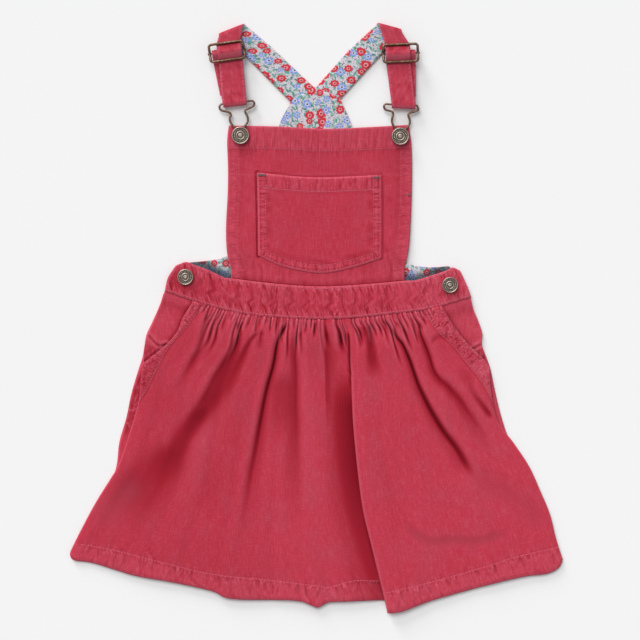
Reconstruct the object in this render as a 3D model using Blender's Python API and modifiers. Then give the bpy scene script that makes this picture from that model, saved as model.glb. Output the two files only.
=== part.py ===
"""A child's pinafore dress in fine needlecord, buttoned up and lying flat on its back.

Sizes are in millimetres and become metres as each mesh is made. +X is to the right of
someone looking down at the front, +Y is towards the shoulders and +Z is up, off the
surface that the dress lies on. The origin is in the middle of the dress, on that surface.

The layers, from the surface up: back skirt, back waistband and back bib; the printed
lining of the back; the pocket facings; the front skirt, waistband and bib; the bib
pocket. The straps start at the back yoke with their lining up, fold over at the shoulders
and come down red side up, through a slider, round the bar of a clip, and back up to the
slider's middle bar, where their ends are turned over and sewn down.
"""

import math
from collections import namedtuple

import bmesh
import bpy
from mathutils import Vector

MM = 0.001

# ---------------------------------------------------------------- walls and layers
CORD_WALL = 1.2            # one layer of needlecord
BAND_WALL = 1.6            # the doubled waistband
BIB_WALL = 1.4
POCKET_WALL = 1.1
LINING_WALL = 1.0
STRAP_WALL = 1.0           # each of a strap's two layers
SEAM_GAP = 0.3             # between two pieces that are sewn or lie together
WAIST_GAP = 0.5            # on the flat; the gathers lean into it and leave about 0.3

LINING_LOW = CORD_WALL + SEAM_GAP
LINING_TOP = LINING_LOW + LINING_WALL
BAND_MIDDLE = 3.9          # height of the middle of the front waistband's wall
BIB_OVER_BACK = LINING_TOP + SEAM_GAP + BIB_WALL / 2
BIB_ON_SURFACE = SEAM_GAP + BIB_WALL / 2

# ---------------------------------------------------------------- colours
NEEDLECORD_RED = (0.50, 0.045, 0.08)
LINING_GREY = (0.58, 0.62, 0.66)
ANTIQUE_BRASS = (0.13, 0.085, 0.05)
OLD_SILVER = (0.27, 0.24, 0.20)

# ---------------------------------------------------------------- waistband
# The seam between waistband and skirt, and the waistband's upper edge: x, y.
WAIST_SEAM = ((-151.5, 26), (-119.5, 15), (-84.5, 5.5), (-50.5, 0.3), (3.5, -2.2),
              (41.5, -0.5), (78.5, 3.5), (114.5, 8.5), (154.5, 20))
BAND_TOP = ((-140.5, 51), (-135.5, 53.2), (-129.5, 54.8), (-121, 51.5), (-108.5, 47),
            (-92.5, 39.4), (-85.5, 38.4), (-40, 33), (3.5, 30.3), (48, 32.5), (88, 36),
            (99.5, 36.6), (118.5, 42.4), (130.5, 46.5), (136, 49.4), (143.5, 46))
BAND_COLUMNS = 44
BAND_ROWS = 3
BAND_PUCKER = 0.22

# ---------------------------------------------------------------- back
SEAM_STEPS = 16                    # straight runs along the waist in a flat piece
BACK_BAND_HEIGHT = 31
BACK_BAND_ENDS = (-139.5, 137.5)   # of its upper edge
BACK_BAND_FLARE = 11               # how much further out its lower edge reaches
LINING_TUCK = 12                   # the back's lining ends this far above the seam
# Edges of the back bib, from the waistband up to the yoke where the straps start: x, y.
BACK_BIB_LEFT = ((-129, 54), (-108, 56.5), (-89.5, 61), (-72, 72), (-59, 90),
                 (-50, 115), (-43, 150), (-37.7, 190.5))
BACK_BIB_RIGHT = ((133.5, 50.3), (121.5, 50), (108.5, 50), (91.5, 53.4), (78, 62),
                  (66, 73), (56, 90), (48, 115), (41.5, 150), (35.5, 189.5))
YOKE_NOTCH = (-1.5, 228.7)         # where the two straps part
YOKE_LEFT = (-25.5, 215.5)
YOKE_RIGHT = (23.8, 218.3)

# ---------------------------------------------------------------- bib
BIB_TOP = ((-87.6, 191.7), (-37.5, 190.4), (5.5, 188.1), (36.5, 189), (92.3, 192.3))
BIB_LEFT = ((-87.6, 191.7), (-89.3, 176), (-88.5, 150), (-88.7, 125), (-90.3, 95),
            (-90.2, 75), (-88.8, 61), (-85.4, 48), (-85.5, 38.7))
BIB_RIGHT = ((92.3, 192.3), (94.6, 176), (95.5, 158), (95.3, 125), (94.3, 97),
             (93, 77), (91, 61), (88, 49), (88, 36.3))
BIB_COLUMNS = 18
BIB_ROWS = 14
BIB_HEM = 21                       # depth of the doubled band along its top
BIB_HEM_RISE = 0.3
DRAPE_FROM = 15                    # how far past the back's edge the bib starts to fall
DRAPE_BY = 32                      # and where it reaches the surface
BAND_BLEND = 12                    # it rises to the waistband's height over this length

POCKET_TOP = ((-59.5, 144.5), (-28, 141), (3, 139.4), (35, 140.4), (64.9, 142))
POCKET_LEFT = ((-59.5, 144.5), (-58.6, 100), (-58.2, 61.5))
POCKET_RIGHT = ((64.9, 142), (65.2, 100), (64.9, 59))
POCKET_BOTTOM = ((-58.2, 61.5), (-32.5, 50), (3, 43.7), (31, 48), (54, 55), (64.9, 59))
POCKET_COLUMNS = 12
POCKET_ROWS = 8
POCKET_CLEAR = 0.1                 # more than a seam's gap, for the bib's bend
POCKET_SWELL = 0.5

# ---------------------------------------------------------------- skirt front
# Side edges from the waist seam to the hem: along the slanted pocket opening, then
# down the side seam. x, y, height of the middle of the wall.
SKIRT_LEFT = ((-123.5, 15.5, 3.9), (-133.5, -1, 3.8), (-139, -14.5, 3.7),
              (-150.5, -28, 3.6), (-169.5, -43.5, 3.55), (-174, -50, 3.5),
              (-177.5, -83, 2.6), (-187.5, -118, 2.3), (-198, -148, 2.2),
              (-205.5, -161, 2.2), (-220.5, -185, 2.2), (-233.5, -209, 2.2),
              (-245.5, -233, 2.2), (-246.5, -239, 2.2))
SKIRT_RIGHT = ((125, 10.6, 3.9), (139, -12, 3.8), (153.5, -29, 3.6), (171.5, -48, 3.55),
               (173.8, -69, 3.5), (181, -104, 2.5), (196.5, -125, 2.2),
               (212.5, -149, 2.2), (223.5, -173, 2.2), (233.5, -197, 2.2),
               (239.5, -221, 2.2), (246.5, -243, 2.2))
# The hem, left and right of the big pleat: x, y.
HEM_LEFT = ((-246.5, -239), (-242.5, -243.5), (-222.5, -246.6), (-182.5, -258.6),
            (-146.5, -265), (-105, -274), (-84.5, -282), (-22.5, -283.6),
            (-6.5, -288), (1.5, -290.5), (12.5, -285.5), (32, -284.5), (55, -283.6))
HEM_RIGHT = ((76.5, -295.4), (88.5, -293), (114, -283.6), (148.5, -274),
             (177.5, -266.4), (208.5, -259.5), (231, -256.8), (242.5, -251),
             (246.5, -243))
# The edge of the big pleat, where the right-hand cloth laps over the left: x, y.
PLEAT_EDGE = ((28, -2.4), (28.5, -8), (32.5, -18), (33.5, -42), (33.5, -66),
              (34.5, -103), (39.1, -152), (45.5, -193), (53.5, -229), (66.5, -276),
              (71.5, -296))
PLEAT_RECESS = ((8, -3.0), (9, -18), (11, -42), (12, -83), (13.5, -123), (20, -165),
                (27, -200), (37, -236), (55, -283.6))
PLEAT_LAP = 9                      # how far the cloth runs back under the edge
PLEAT_FULL = 4                     # the lap at which the three layers are parted
PLEAT_LOW = 2.2                    # middle heights of its lowest and highest layers
PLEAT_HIGH = 5.7
RECESS_SIDE = 3.1                  # height of the left-hand cloth beside the recess
PLEAT_TURN = 0.87                  # radius of the turns between the layers
PLEAT_BACK = 5                     # from the edge to where the plain cloth starts
PLEAT_RISE_BY = 0.13               # share of the skirt's length by which it stands up
PLEAT_LAP_FROM = 0.05
PLEAT_LAP_BY = 0.28
PLEAT_STEP = 8                     # width of the slope before the cloth laps over
PLEAT_RETURN = 1.2                 # the middle layer stops this far from the edge
# Points across the recess, and up the slope: share of its width, share of its height.
RECESS_SHARES = (0.35, 0.7, 1)
SLOPE = ((0.75, 0.25), (0.5, 0.5), (0.35, 0.65), (0.15, 0.85), (0, 1))

LEFT_COLUMNS = 44
RIGHT_COLUMNS = 30
SKIRT_ROWS = (0, 0.02, 0.045, 0.08, 0.125, 0.18, 0.25, 0.33, 0.42, 0.52, 0.62, 0.72,
              0.82, 0.91, 1)
SKIRT_SWELL = 1.3                  # how much the cloth stands up between its edges
GATHER_HEIGHT = 1.0
GATHER_LENGTH = 0.17               # share of the skirt's length that the gathers reach
HEM_SETTLES = 0.4                  # the hem's middle lies this far over its lowest
LOWEST_FRONT = CORD_WALL + SEAM_GAP + CORD_WALL / 2 + 0.1
EDGE_FADE = 0.06                   # folds fade out over this share of the panel's width

# The largest folds: a valley's depth, the width of its left and right slopes, the
# lengths over which it starts and dies out, and the line that it follows.
Fold = namedtuple("Fold", "depth left right start end line")
FOLDS = (
    Fold(2.0, 5, 7, 6, 26, ((-105.5, 2), (-114.5, -19), (-120.5, -43), (-127, -64))),
    Fold(2.9, 5, 15, 8, 60, ((-77.5, -8), (-76.5, -20), (-82.5, -31), (-96.5, -48),
                             (-112.5, -74), (-130.5, -103), (-149.5, -138),
                             (-170, -165))),
    Fold(1.5, 9, 9, 8, 40, ((-60.5, -16), (-71.5, -31), (-83.5, -55), (-92, -75),
                            (-106, -96))),
    Fold(2.7, 4, 13, 8, 90, ((-39.5, -16), (-44.5, -48), (-54.5, -82), (-60, -108),
                             (-64, -135), (-74.5, -165), (-84, -221))),
    Fold(1.8, 11, 4, 6, 40, ((-19.5, -8), (-21.5, -34), (-20.5, -55), (-18, -95))),
    Fold(1.9, 5, 8, 6, 45, ((50.5, -5), (54.5, -28), (58.5, -44), (64, -66),
                            (67, -100))),
    Fold(2.9, 12, 5, 8, 60, ((77.5, -10), (90.5, -36), (100.5, -60), (109.5, -78),
                             (121.5, -103), (131.5, -117), (148.5, -143),
                             (165, -170))),
    Fold(2.2, 9, 5, 6, 40, ((105, -12), (109.5, -36), (119.5, -54), (138.5, -70),
                            (150.5, -76), (163.5, -89), (174, -101))),
)
# Long soft waves that the folds turn into towards the hem: where on the hem, how wide,
# how high, and how far up the skirt they reach as a share of its length.
Wave = namedtuple("Wave", "x width height reach")
WAVE_SPREAD = 0.55                 # how much nearer together they start at the waist
HEM_WAVES = (
    Wave(-150, 34, 0.9, 0.75), Wave(-84, 26, 1.1, 0.7), Wave(-8, 24, 1.3, 0.6),
    Wave(30, 14, 0.7, 0.4), Wave(118, 26, 0.8, 0.5), Wave(190, 26, 0.7, 0.5),
)

# ---------------------------------------------------------------- skirt back
# Its sides show beside the front panel, below the pockets. x, y from waist to hem.
BACK_LEFT = ((-153.5, 23.5), (-157, 12), (-165, -6), (-170.5, -18), (-172.5, -30),
             (-174.5, -41), (-178.5, -53), (-185.5, -77), (-190.5, -101),
             (-197.5, -125), (-200, -147), (-204.7, -161), (-219.7, -185),
             (-232.7, -209), (-244, -234))
BACK_RIGHT = ((154.8, 17.5), (157.5, 7), (162.5, -5), (165.5, -18), (166, -29),
              (170.5, -41), (174.5, -53), (179.5, -77), (185.5, -101), (194, -124),
              (211.7, -149), (222.7, -173), (232.7, -197), (238.7, -221), (244.5, -239))
BACK_HEM = ((-238, -240.5), (-182, -253), (-104, -268), (-22, -278), (60, -278),
            (114, -276), (177, -259), (232, -250))

# ---------------------------------------------------------------- pocket facings
# The side pieces seen through the slanted pocket openings. x, y, round the piece.
FACING_LEFT = ((-151.8, 25.2), (-155.6, 15), (-164, -6), (-169, -17), (-172.6, -31),
               (-173.3, -44), (-172, -58), (-158, -62), (-132, -42), (-112, -8),
               (-107, 10.7))
FACING_RIGHT = ((154.3, 19.0), (157, 8), (162, -4), (166, -17), (165.4, -27),
                (170, -41), (172.5, -55), (172, -66), (160, -66), (136, -42),
                (116, -14), (108, 6.6))
FACING_LOW = CORD_WALL + SEAM_GAP
FACING_WALL = 1.0
FACING_INNER = 98                  # the front lies on a facing past this distance from
FACING_REACH = -66                 # the middle, down to this height on the skirt

# ---------------------------------------------------------------- hardware
SLIDER_WIDE = 34.3                 # between wire middles
SLIDER_DEEP = 17.3
SLIDER_CORNER = 2.6
SLIDER_DIP = 2.2                   # half the length of the dips in its short sides
SLIDER_DIP_RISE = 0.3              # from a dip's middle to its ends
SLIDER_WIRE = 1.1                  # radius
SLIDER_BAR = 0.9                   # radius of the middle bar
SLIDER_NUB = 1.4                   # the middle bar's ends, past the frame
SLIDER_HEIGHT = 9.1
SLIDER_BAR_DROP = 2.5              # the middle bar lies this much lower
CLIP_WIRE = 0.9
CLIP_HEIGHT = 4.1
CLIP_STEPS = 30                    # straight runs round its bends
BIB_BUTTON = 8.7                   # radius
SIDE_BUTTON = 7.9
BUTTON_STEM = 2.1
BUTTON_FOOT = 4.2                  # radius
BUTTON_FOOT_WALL = 0.35
BUTTON_FLARE = 0.15                # height of the foot's slope up to the stem
BIB_BUTTON_FOOT = 2.35             # height of its foot's underside
BIB_BUTTON_CAP = 5.35              # height of its cap's underside
SIDE_BUTTON_FOOT = BAND_MIDDLE + BAND_WALL / 2 + BAND_PUCKER + SEAM_GAP
SIDE_BUTTON_CAP = SIDE_BUTTON_FOOT + 0.9
# A button's cap from its middle out: share of the radius, height over its underside.
BUTTON_CAP = ((0, 2.5), (0.2, 2.5), (0.27, 2.0), (0.42, 1.9), (0.5, 2.35), (0.6, 2.0),
              (0.82, 2.0), (0.93, 2.3), (1, 1.7), (1, 0.7), (0.93, 0))
BUTTON_STEPS = 20
BUTTON_MERGE = 1e-5                # metres

# ---------------------------------------------------------------- straps
STRAP_WIDE = 24.2
TAIL_WIDE = 23.4
STRAP_HALF = STRAP_WALL + SEAM_GAP / 2     # half of a strap's two layers
STRAP_FLOOR = STRAP_HALF                   # middle height of the strap on the surface
SHOULDER_TURN = 2.7                        # radius of the fold at the shoulder
SHOULDER_STEPS = 6
UNDER_BAR = SLIDER_WIRE + SEAM_GAP + STRAP_HALF
NEXT_LAYER = 2 * STRAP_HALF + SEAM_GAP
LOOP = SLIDER_BAR + SEAM_GAP + STRAP_HALF
OVER_LOOP = LOOP + NEXT_LAYER
CLIP_TURN = 2.7
TAIL_END = -32                             # along the strap, from the slider
TAIL_END_HEIGHT = 4.02
IN_SLIDER = 9.2                            # a strap runs square to the bars this far
ARC_STEP = math.radians(26)

Side = namedtuple("Side", "name turn yoke halfway shoulder folded slider tilt lane "
                          "tail_lane bar bar_tilt clip button side_button")
LEFT = Side(
    name="left", turn=-1,
    yoke=((-1.9, 229.3), (-26.0, 215.9)),
    halfway=((-45.5, 270.5), (-70.6, 260.8)),
    shoulder=((-69.2, 290.6), (-97.2, 280.2)),
    folded=((-74.2, 289.2), (-97.6, 279.6)),
    slider=(-89.4, 264.7), tilt=8.0, lane=2.6, tail_lane=-3.2,
    bar=(-81.8, 214.4), bar_tilt=6.3,
    clip=((-94.9, 213.0), (-68.8, 215.9), (-65.1, 216.9), (-62.2, 214.2),
          (-63.7, 210.5), (-70.7, 207.1), (-71.3, 204.7), (-68.9, 200.1),
          (-68.9, 195.1), (-72.0, 189.7), (-72.2, 181.5), (-73.4, 178.4),
          (-76.0, 177.3), (-78.6, 178.4), (-79.8, 181.5), (-80.6, 187.0),
          (-85.6, 194.0), (-86.9, 198.4), (-85.5, 202.2), (-87.7, 204.7),
          (-95.3, 206.7), (-97.1, 210.3)),
    button=(-76.0, 181.3), side_button=(-130.9, 39.8))
RIGHT = Side(
    name="right", turn=1,
    yoke=((-1.1, 229.3), (24.2, 218.8)),
    halfway=((32.0, 266.5), (52.5, 249.5)),
    shoulder=((58.8, 291.4), (84.6, 284.6)),
    folded=((62.8, 290.2), (85.4, 284.0)),
    slider=(83.9, 263.1), tilt=2.2, lane=-2.6, tail_lane=3.2,
    bar=(87.0, 212.0), bar_tilt=-2.5,
    clip=((73.1, 212.6), (100.5, 211.4), (102.4, 209.4), (100.6, 206.3),
          (93.0, 203.8), (91.8, 201.3), (93.3, 196.8), (92.6, 191.8),
          (88.3, 186.5), (87.5, 180.6), (86.3, 177.5), (83.7, 176.4),
          (81.1, 177.5), (79.9, 180.6), (79.5, 186.5), (76.0, 193.0),
          (75.4, 197.6), (76.8, 203.0), (75.2, 205.4), (69.0, 207.4),
          (67.4, 210.6), (69.4, 212.9)),
    button=(83.7, 180.4), side_button=(133.3, 31.9))


# ================================================================ helpers
def smoothstep(low, high, value):
    """0 below low, 1 above high, with a soft start and end."""
    share = min(1, max(0, (value - low) / (high - low)))
    return share * share * (3 - 2 * share)


def between(low, high, share):
    return low + (high - low) * share


class Route:
    """A smooth line through a few points, read by the share of its length."""

    FINE = 8

    def __init__(self, points):
        knots = [Vector(point) for point in points]
        padded = [knots[0] * 2 - knots[1]] + knots + [knots[-1] * 2 - knots[-2]]
        self.spots = []
        for a, b, c, d in zip(padded, padded[1:], padded[2:], padded[3:]):
            for step in range(self.FINE):
                self.spots.append(self.blend(a, b, c, d, step / self.FINE))
        self.spots.append(knots[-1])
        self.lengths = [0.0]
        for near, far in zip(self.spots, self.spots[1:]):
            self.lengths.append(self.lengths[-1] + (far - near).length)

    @staticmethod
    def blend(a, b, c, d, t):
        """Catmull-Rom between b and c."""
        return 0.5 * (2 * b + (c - a) * t + (2 * a - 5 * b + 4 * c - d) * t ** 2
                      + (3 * b - 3 * c + d - a) * t ** 3)

    def at(self, share):
        target = min(1, max(0, share)) * self.lengths[-1]
        for index in range(len(self.spots) - 1):
            if self.lengths[index + 1] >= target:
                break
        run = self.lengths[index + 1] - self.lengths[index]
        part = (target - self.lengths[index]) / run if run else 0
        return self.spots[index].lerp(self.spots[index + 1], part)

    def height_at(self, x):
        """y where a line that runs from left to right passes x."""
        for near, far in zip(self.spots, self.spots[1:]):
            if far.x >= x:
                break
        return between(near.y, far.y, (x - near.x) / (far.x - near.x))


def patch(top, bottom, left, right, u, v):
    """A point inside four edges that meet at their ends, each a function of 0 to 1."""
    across = top(u).lerp(bottom(u), v)
    down = left(v).lerp(right(v), u)
    corners = top(0).lerp(top(1), u).lerp(bottom(0).lerp(bottom(1), u), v)
    return across + down - corners


def with_height(route, height):
    """An edge function that lifts a flat route."""
    def edge(share):
        spot = route.at(share)
        return Vector((spot.x, spot.y, height))
    return edge


def finish(object_, colour, roughness, metallic=0.0):
    """Give an object its own material and put it with the dress."""
    surface = bpy.data.materials.new(object_.name)
    surface.use_nodes = True
    shader = surface.node_tree.nodes["Principled BSDF"]
    shader.inputs["Base Color"].default_value = (*colour, 1)
    shader.inputs["Roughness"].default_value = roughness
    shader.inputs["Metallic"].default_value = metallic
    object_.data.materials.clear()
    object_.data.materials.append(surface)
    for holder in list(object_.users_collection):
        holder.objects.unlink(object_)
    bpy.data.collections["pinafore_dress"].objects.link(object_)
    return object_


def red(object_):
    return finish(object_, NEEDLECORD_RED, 0.85)


def lining(object_):
    return finish(object_, LINING_GREY, 0.8)


def cloth(name, point_at, columns, rows, wall):
    """A wall of even thickness around a sheet; point_at(column, row) is its middle."""
    sheet = bmesh.new()
    bmesh.ops.create_grid(sheet, x_segments=columns, y_segments=rows, size=0.5)
    for vertex in sheet.verts:
        column = round((vertex.co.x + 0.5) * columns)
        row = round((0.5 - vertex.co.y) * rows)
        vertex.co = Vector(point_at(column, row)) * MM
    mesh = bpy.data.meshes.new(name)
    sheet.to_mesh(mesh)
    sheet.free()
    mesh.shade_smooth()
    object_ = bpy.data.objects.new(name, mesh)
    bpy.context.scene.collection.objects.link(object_)
    thicken = object_.modifiers.new("Wall", "SOLIDIFY")
    thicken.thickness = wall * MM
    thicken.offset = 0
    thicken.use_rim = True
    return object_


def plate(name, outline, low, wall):
    """A flat piece with its underside at a height of low."""
    curve = bpy.data.curves.new(name, "CURVE")
    curve.dimensions = "2D"
    curve.fill_mode = "BOTH"
    curve.extrude = wall / 2 * MM
    spline = curve.splines.new("POLY")
    spline.points.add(len(outline) - 1)
    for point, (x, y) in zip(spline.points, outline):
        point.co = (x * MM, y * MM, 0, 1)
    spline.use_cyclic_u = True
    object_ = bpy.data.objects.new(name, curve)
    object_.location.z = (low + wall / 2) * MM
    bpy.context.scene.collection.objects.link(object_)
    return object_


def wire_ring(name, points, radius):
    """A round wire bent into a closed ring."""
    curve = bpy.data.curves.new(name, "CURVE")
    curve.dimensions = "3D"
    curve.bevel_depth = radius * MM
    curve.bevel_resolution = 2
    spline = curve.splines.new("POLY")
    spline.points.add(len(points) - 1)
    for point, (x, y, z) in zip(spline.points, points):
        point.co = (x * MM, y * MM, z * MM, 1)
    spline.use_cyclic_u = True
    object_ = bpy.data.objects.new(name, curve)
    bpy.context.scene.collection.objects.link(object_)
    return object_


# ================================================================ skirt
SEAM = Route(WAIST_SEAM)
LEFT_SIDE = Route(SKIRT_LEFT)
RIGHT_SIDE = Route(SKIRT_RIGHT)
LEFT_HEM = Route(HEM_LEFT)
RIGHT_HEM = Route(HEM_RIGHT)
EDGE = Route(PLEAT_EDGE)
RECESS = Route(PLEAT_RECESS)


def pleat_growth(v):
    """How far the pleat has stood up, and how far it laps, at a share of the length."""
    rise = smoothstep(0, PLEAT_RISE_BY, v)
    lap = between(-PLEAT_STEP, PLEAT_LAP, smoothstep(PLEAT_LAP_FROM, PLEAT_LAP_BY, v))
    return rise, lap


def recess_edge(v):
    spot = RECESS.at(v)
    rise, _ = pleat_growth(v)
    return Vector((spot.x, spot.y, between(BAND_MIDDLE, RECESS_SIDE, rise)))


def lapped_edge(v):
    spot = EDGE.at(v)
    rise, _ = pleat_growth(v)
    return Vector((spot.x + PLEAT_BACK, spot.y, between(BAND_MIDDLE, PLEAT_HIGH, rise)))


def pleat_section(v):
    """The wall's middle through the pleat: distance from its edge, and height."""
    rise, lap = pleat_growth(v)
    low = between(BAND_MIDDLE, PLEAT_LOW, rise)
    high = between(BAND_MIDDLE, PLEAT_HIGH, rise)
    middle = (low + high) / 2
    opened = min(1, max(0, lap / PLEAT_FULL))
    turn = PLEAT_TURN * opened
    start = RECESS.at(v).x - EDGE.at(v).x
    run = [(between(start, lap, share), low) for share in RECESS_SHARES]
    sloped = [(min(lap, 0) * across, between(low, high, up)) for across, up in SLOPE]
    folded = [(lap + turn, (low + middle) / 2), (lap, middle), (PLEAT_RETURN, middle),
              (PLEAT_RETURN - 1.5 * turn, (middle + high) / 2), (PLEAT_RETURN, high)]
    for flat, round_ in zip(sloped, folded):
        run.append((between(flat[0], round_[0], opened),
                    between(flat[1], round_[1], opened)))
    return run


PLEAT_COLUMNS = len(pleat_section(0))


def fold_depth(fold, x, y):
    """How far a fold pulls the cloth down at x, y."""
    spot = Vector((x, y))
    nearest, side, along = None, 0, 0
    walked = 0
    for start, end in zip(fold.line, fold.line[1:]):
        start, end = Vector(start), Vector(end)
        way = end - start
        share = min(1, max(0, (spot - start).dot(way) / way.length_squared))
        offset = spot - (start + way * share)
        if nearest is None or offset.length < nearest:
            nearest = offset.length
            side = way.x * offset.y - way.y * offset.x
            along = walked + way.length * share
        walked += way.length
    slope = fold.right if side > 0 else fold.left
    if nearest >= slope:
        return 0
    ends = smoothstep(0, fold.start, along) * smoothstep(0, fold.end, walked - along)
    return fold.depth * ends * (1 - smoothstep(0, 1, nearest / slope))


def hem_wave(x, v):
    lift = 0
    for wave in HEM_WAVES:
        across = (x - wave.x * between(WAVE_SPREAD, 1, v)) / wave.width
        lift += wave.height * math.exp(-across ** 2) * smoothstep(1 - wave.reach, 1, v)
    return lift


def gather(column, v):
    """The up and down of the gathers, uneven from one to the next."""
    uneven = 0.75 + 0.25 * math.sin(column * 2.4) + 0.15 * math.sin(column * 5.3)
    length = GATHER_LENGTH * (1 + 0.45 * math.sin(column * 1.7))
    fade = 1 - smoothstep(0.15 * length, length, v)
    return (-1) ** column * GATHER_HEIGHT * uneven * fade


def skirt_front_point(column, row):
    v = SKIRT_ROWS[row]
    if column <= LEFT_COLUMNS:
        u = column / LEFT_COLUMNS
        seam_start, seam_end = SKIRT_LEFT[0][0], PLEAT_RECESS[0][0]
        spot = patch(lambda s: waist_point(between(seam_start, seam_end, s)),
                     lambda s: hem_point(LEFT_HEM, s, SKIRT_LEFT[-1][2], RECESS_SIDE),
                     LEFT_SIDE.at, recess_edge, u, v)
        swell = SKIRT_SWELL * math.sin(math.pi * u) ** 0.5
    elif column <= LEFT_COLUMNS + PLEAT_COLUMNS:
        index = column - LEFT_COLUMNS - 1
        offset, height = pleat_section(v)[index]
        y = between(RECESS.at(v).y, EDGE.at(v).y, smoothstep(2, 6, index))
        return Vector((EDGE.at(v).x + offset, y, height))
    else:
        u = (column - LEFT_COLUMNS - PLEAT_COLUMNS - 1) / RIGHT_COLUMNS
        seam_start, seam_end = PLEAT_EDGE[0][0] + PLEAT_BACK, SKIRT_RIGHT[0][0]
        spot = patch(lambda s: waist_point(between(seam_start, seam_end, s)),
                     lambda s: hem_point(RIGHT_HEM, s, PLEAT_HIGH, SKIRT_RIGHT[-1][2]),
                     lapped_edge, RIGHT_SIDE.at, u, v)
        swell = SKIRT_SWELL * math.sin(math.pi * u ** 0.8) ** 0.6 * (1 - 0.4 * v)
    spot.z += swell * smoothstep(0, 0.1, v) * (1 - 0.75 * smoothstep(0.75, 1, v))
    away = smoothstep(0, EDGE_FADE, u) * smoothstep(0, EDGE_FADE, 1 - u)
    spot.z += away * hem_wave(spot.x, v)
    spot.z -= away * sum(fold_depth(fold, spot.x, spot.y) for fold in FOLDS)
    spot.z += gather(column, v) * away
    spot.z = max(spot.z, lowest_front(spot.x, spot.y))
    return spot


def lowest_front(x, y):
    """The front clears the back, and where a facing lies between them, the facing."""
    on_facing = (smoothstep(FACING_INNER - 12, FACING_INNER, abs(x))
                 * smoothstep(FACING_REACH - 26, FACING_REACH, y))
    return LOWEST_FRONT + (FACING_WALL + SEAM_GAP) * on_facing


def waist_point(x):
    return Vector((x, SEAM.height_at(x) - WAIST_GAP, BAND_MIDDLE))


def hem_point(hem, share, start_height, end_height):
    spot = hem.at(share)
    height = between(start_height, end_height, share)
    settled = LOWEST_FRONT + HEM_SETTLES
    middle = smoothstep(0, 0.25, share) * smoothstep(0, 0.2, 1 - share)
    return Vector((spot.x, spot.y, between(height, settled, middle)))


def skirt_front():
    columns = LEFT_COLUMNS + PLEAT_COLUMNS + RIGHT_COLUMNS + 1
    return red(cloth("skirt_front", skirt_front_point, columns, len(SKIRT_ROWS) - 1,
                     CORD_WALL))


def seam_run(start, end, offset):
    """Points along the waist seam, moved up or down by offset."""
    spots = []
    for step in range(SEAM_STEPS + 1):
        x = between(start, end, step / SEAM_STEPS)
        spots.append((x, SEAM.height_at(x) + offset))
    return spots


def skirt_back():
    waist = seam_run(BACK_LEFT[0][0] + 3, BACK_RIGHT[0][0] - 3, -SEAM_GAP)
    outline = waist + list(BACK_RIGHT) + list(reversed(BACK_HEM))
    outline += list(reversed(BACK_LEFT))
    return red(plate("skirt_back", outline, 0, CORD_WALL))


def pocket_facing(name, outline):
    return red(plate(name, outline, FACING_LOW, FACING_WALL))


# ================================================================ waistband
TOP_OF_BAND = Route(BAND_TOP)


def band_front_point(column, row):
    u, v = column / BAND_COLUMNS, row / BAND_ROWS
    left = Route((BAND_TOP[0], (-148.5, 39), WAIST_SEAM[0]))
    right = Route((BAND_TOP[-1], (149.5, 33), WAIST_SEAM[-1]))
    spot = patch(with_height(TOP_OF_BAND, BAND_MIDDLE), with_height(SEAM, BAND_MIDDLE),
                 with_height(left, BAND_MIDDLE), with_height(right, BAND_MIDDLE), u, v)
    pull = BAND_PUCKER * (0.6 + 0.4 * math.sin(column * 1.9)) * (0.3 + 0.7 * v)
    spot.z += (-1) ** column * pull
    return spot


def waistband_front():
    return red(cloth("waistband_front", band_front_point, BAND_COLUMNS, BAND_ROWS,
                     BAND_WALL))


def waistband_back():
    start, end = BACK_BAND_ENDS
    lower = seam_run(start - BACK_BAND_FLARE, end + BACK_BAND_FLARE, 0)
    upper = seam_run(start, end, BACK_BAND_HEIGHT)
    return red(plate("waistband_back", lower + list(reversed(upper)), 0, CORD_WALL))


# ================================================================ back bib and lining
def back_outline(lower):
    """Round the back bib: along its lower edge, up the right, down the left."""
    right = list(BACK_BIB_RIGHT) + [YOKE_RIGHT]
    left = list(BACK_BIB_LEFT) + [YOKE_LEFT]
    return lower + right + [YOKE_NOTCH] + list(reversed(left))


def bib_back():
    lower = seam_run(BACK_BIB_LEFT[0][0] - 4, BACK_BIB_RIGHT[0][0] - 4,
                     BACK_BAND_HEIGHT + SEAM_GAP)
    return red(plate("bib_back", back_outline(lower), 0, CORD_WALL))


def back_lining():
    lower = seam_run(BACK_BIB_LEFT[0][0] - 4, BACK_BIB_RIGHT[0][0] + 1, LINING_TUCK)
    return lining(plate("back_lining", back_outline(lower), LINING_LOW, LINING_WALL))


# ================================================================ bib
BIB_EDGES = [Route(points) for points in (BIB_TOP, BIB_LEFT, BIB_RIGHT)]
POCKET_EDGES = [Route(points)
                for points in (POCKET_TOP, POCKET_BOTTOM, POCKET_LEFT, POCKET_RIGHT)]


def edge_at(edge, y):
    """x where one side of the back bib passes y; its foot below the flare."""
    for low, high in zip(edge, edge[1:]):
        if high[1] > y >= low[1]:
            return between(low[0], high[0], (y - low[1]) / (high[1] - low[1]))
    return edge[0][0] if y < edge[-1][1] else edge[-1][0]


def bib_height(x, y):
    """Middle of the bib's wall: over the back it lies on it, past it, on the surface."""
    past = max(edge_at(BACK_BIB_LEFT, y) - x, x - edge_at(BACK_BIB_RIGHT, y), 0)
    fall = smoothstep(DRAPE_FROM, DRAPE_BY, past)
    height = between(BIB_OVER_BACK, BIB_ON_SURFACE, fall)
    top = BIB_EDGES[0].height_at(min(max(x, BIB_TOP[0][0] + 1), BIB_TOP[-1][0] - 1))
    height += BIB_HEM_RISE * (1 - smoothstep(BIB_HEM - 2, BIB_HEM + 2, top - y))
    to_band = y - TOP_OF_BAND.height_at(x)
    return between(BAND_MIDDLE, height, smoothstep(0, BAND_BLEND, to_band))


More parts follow.
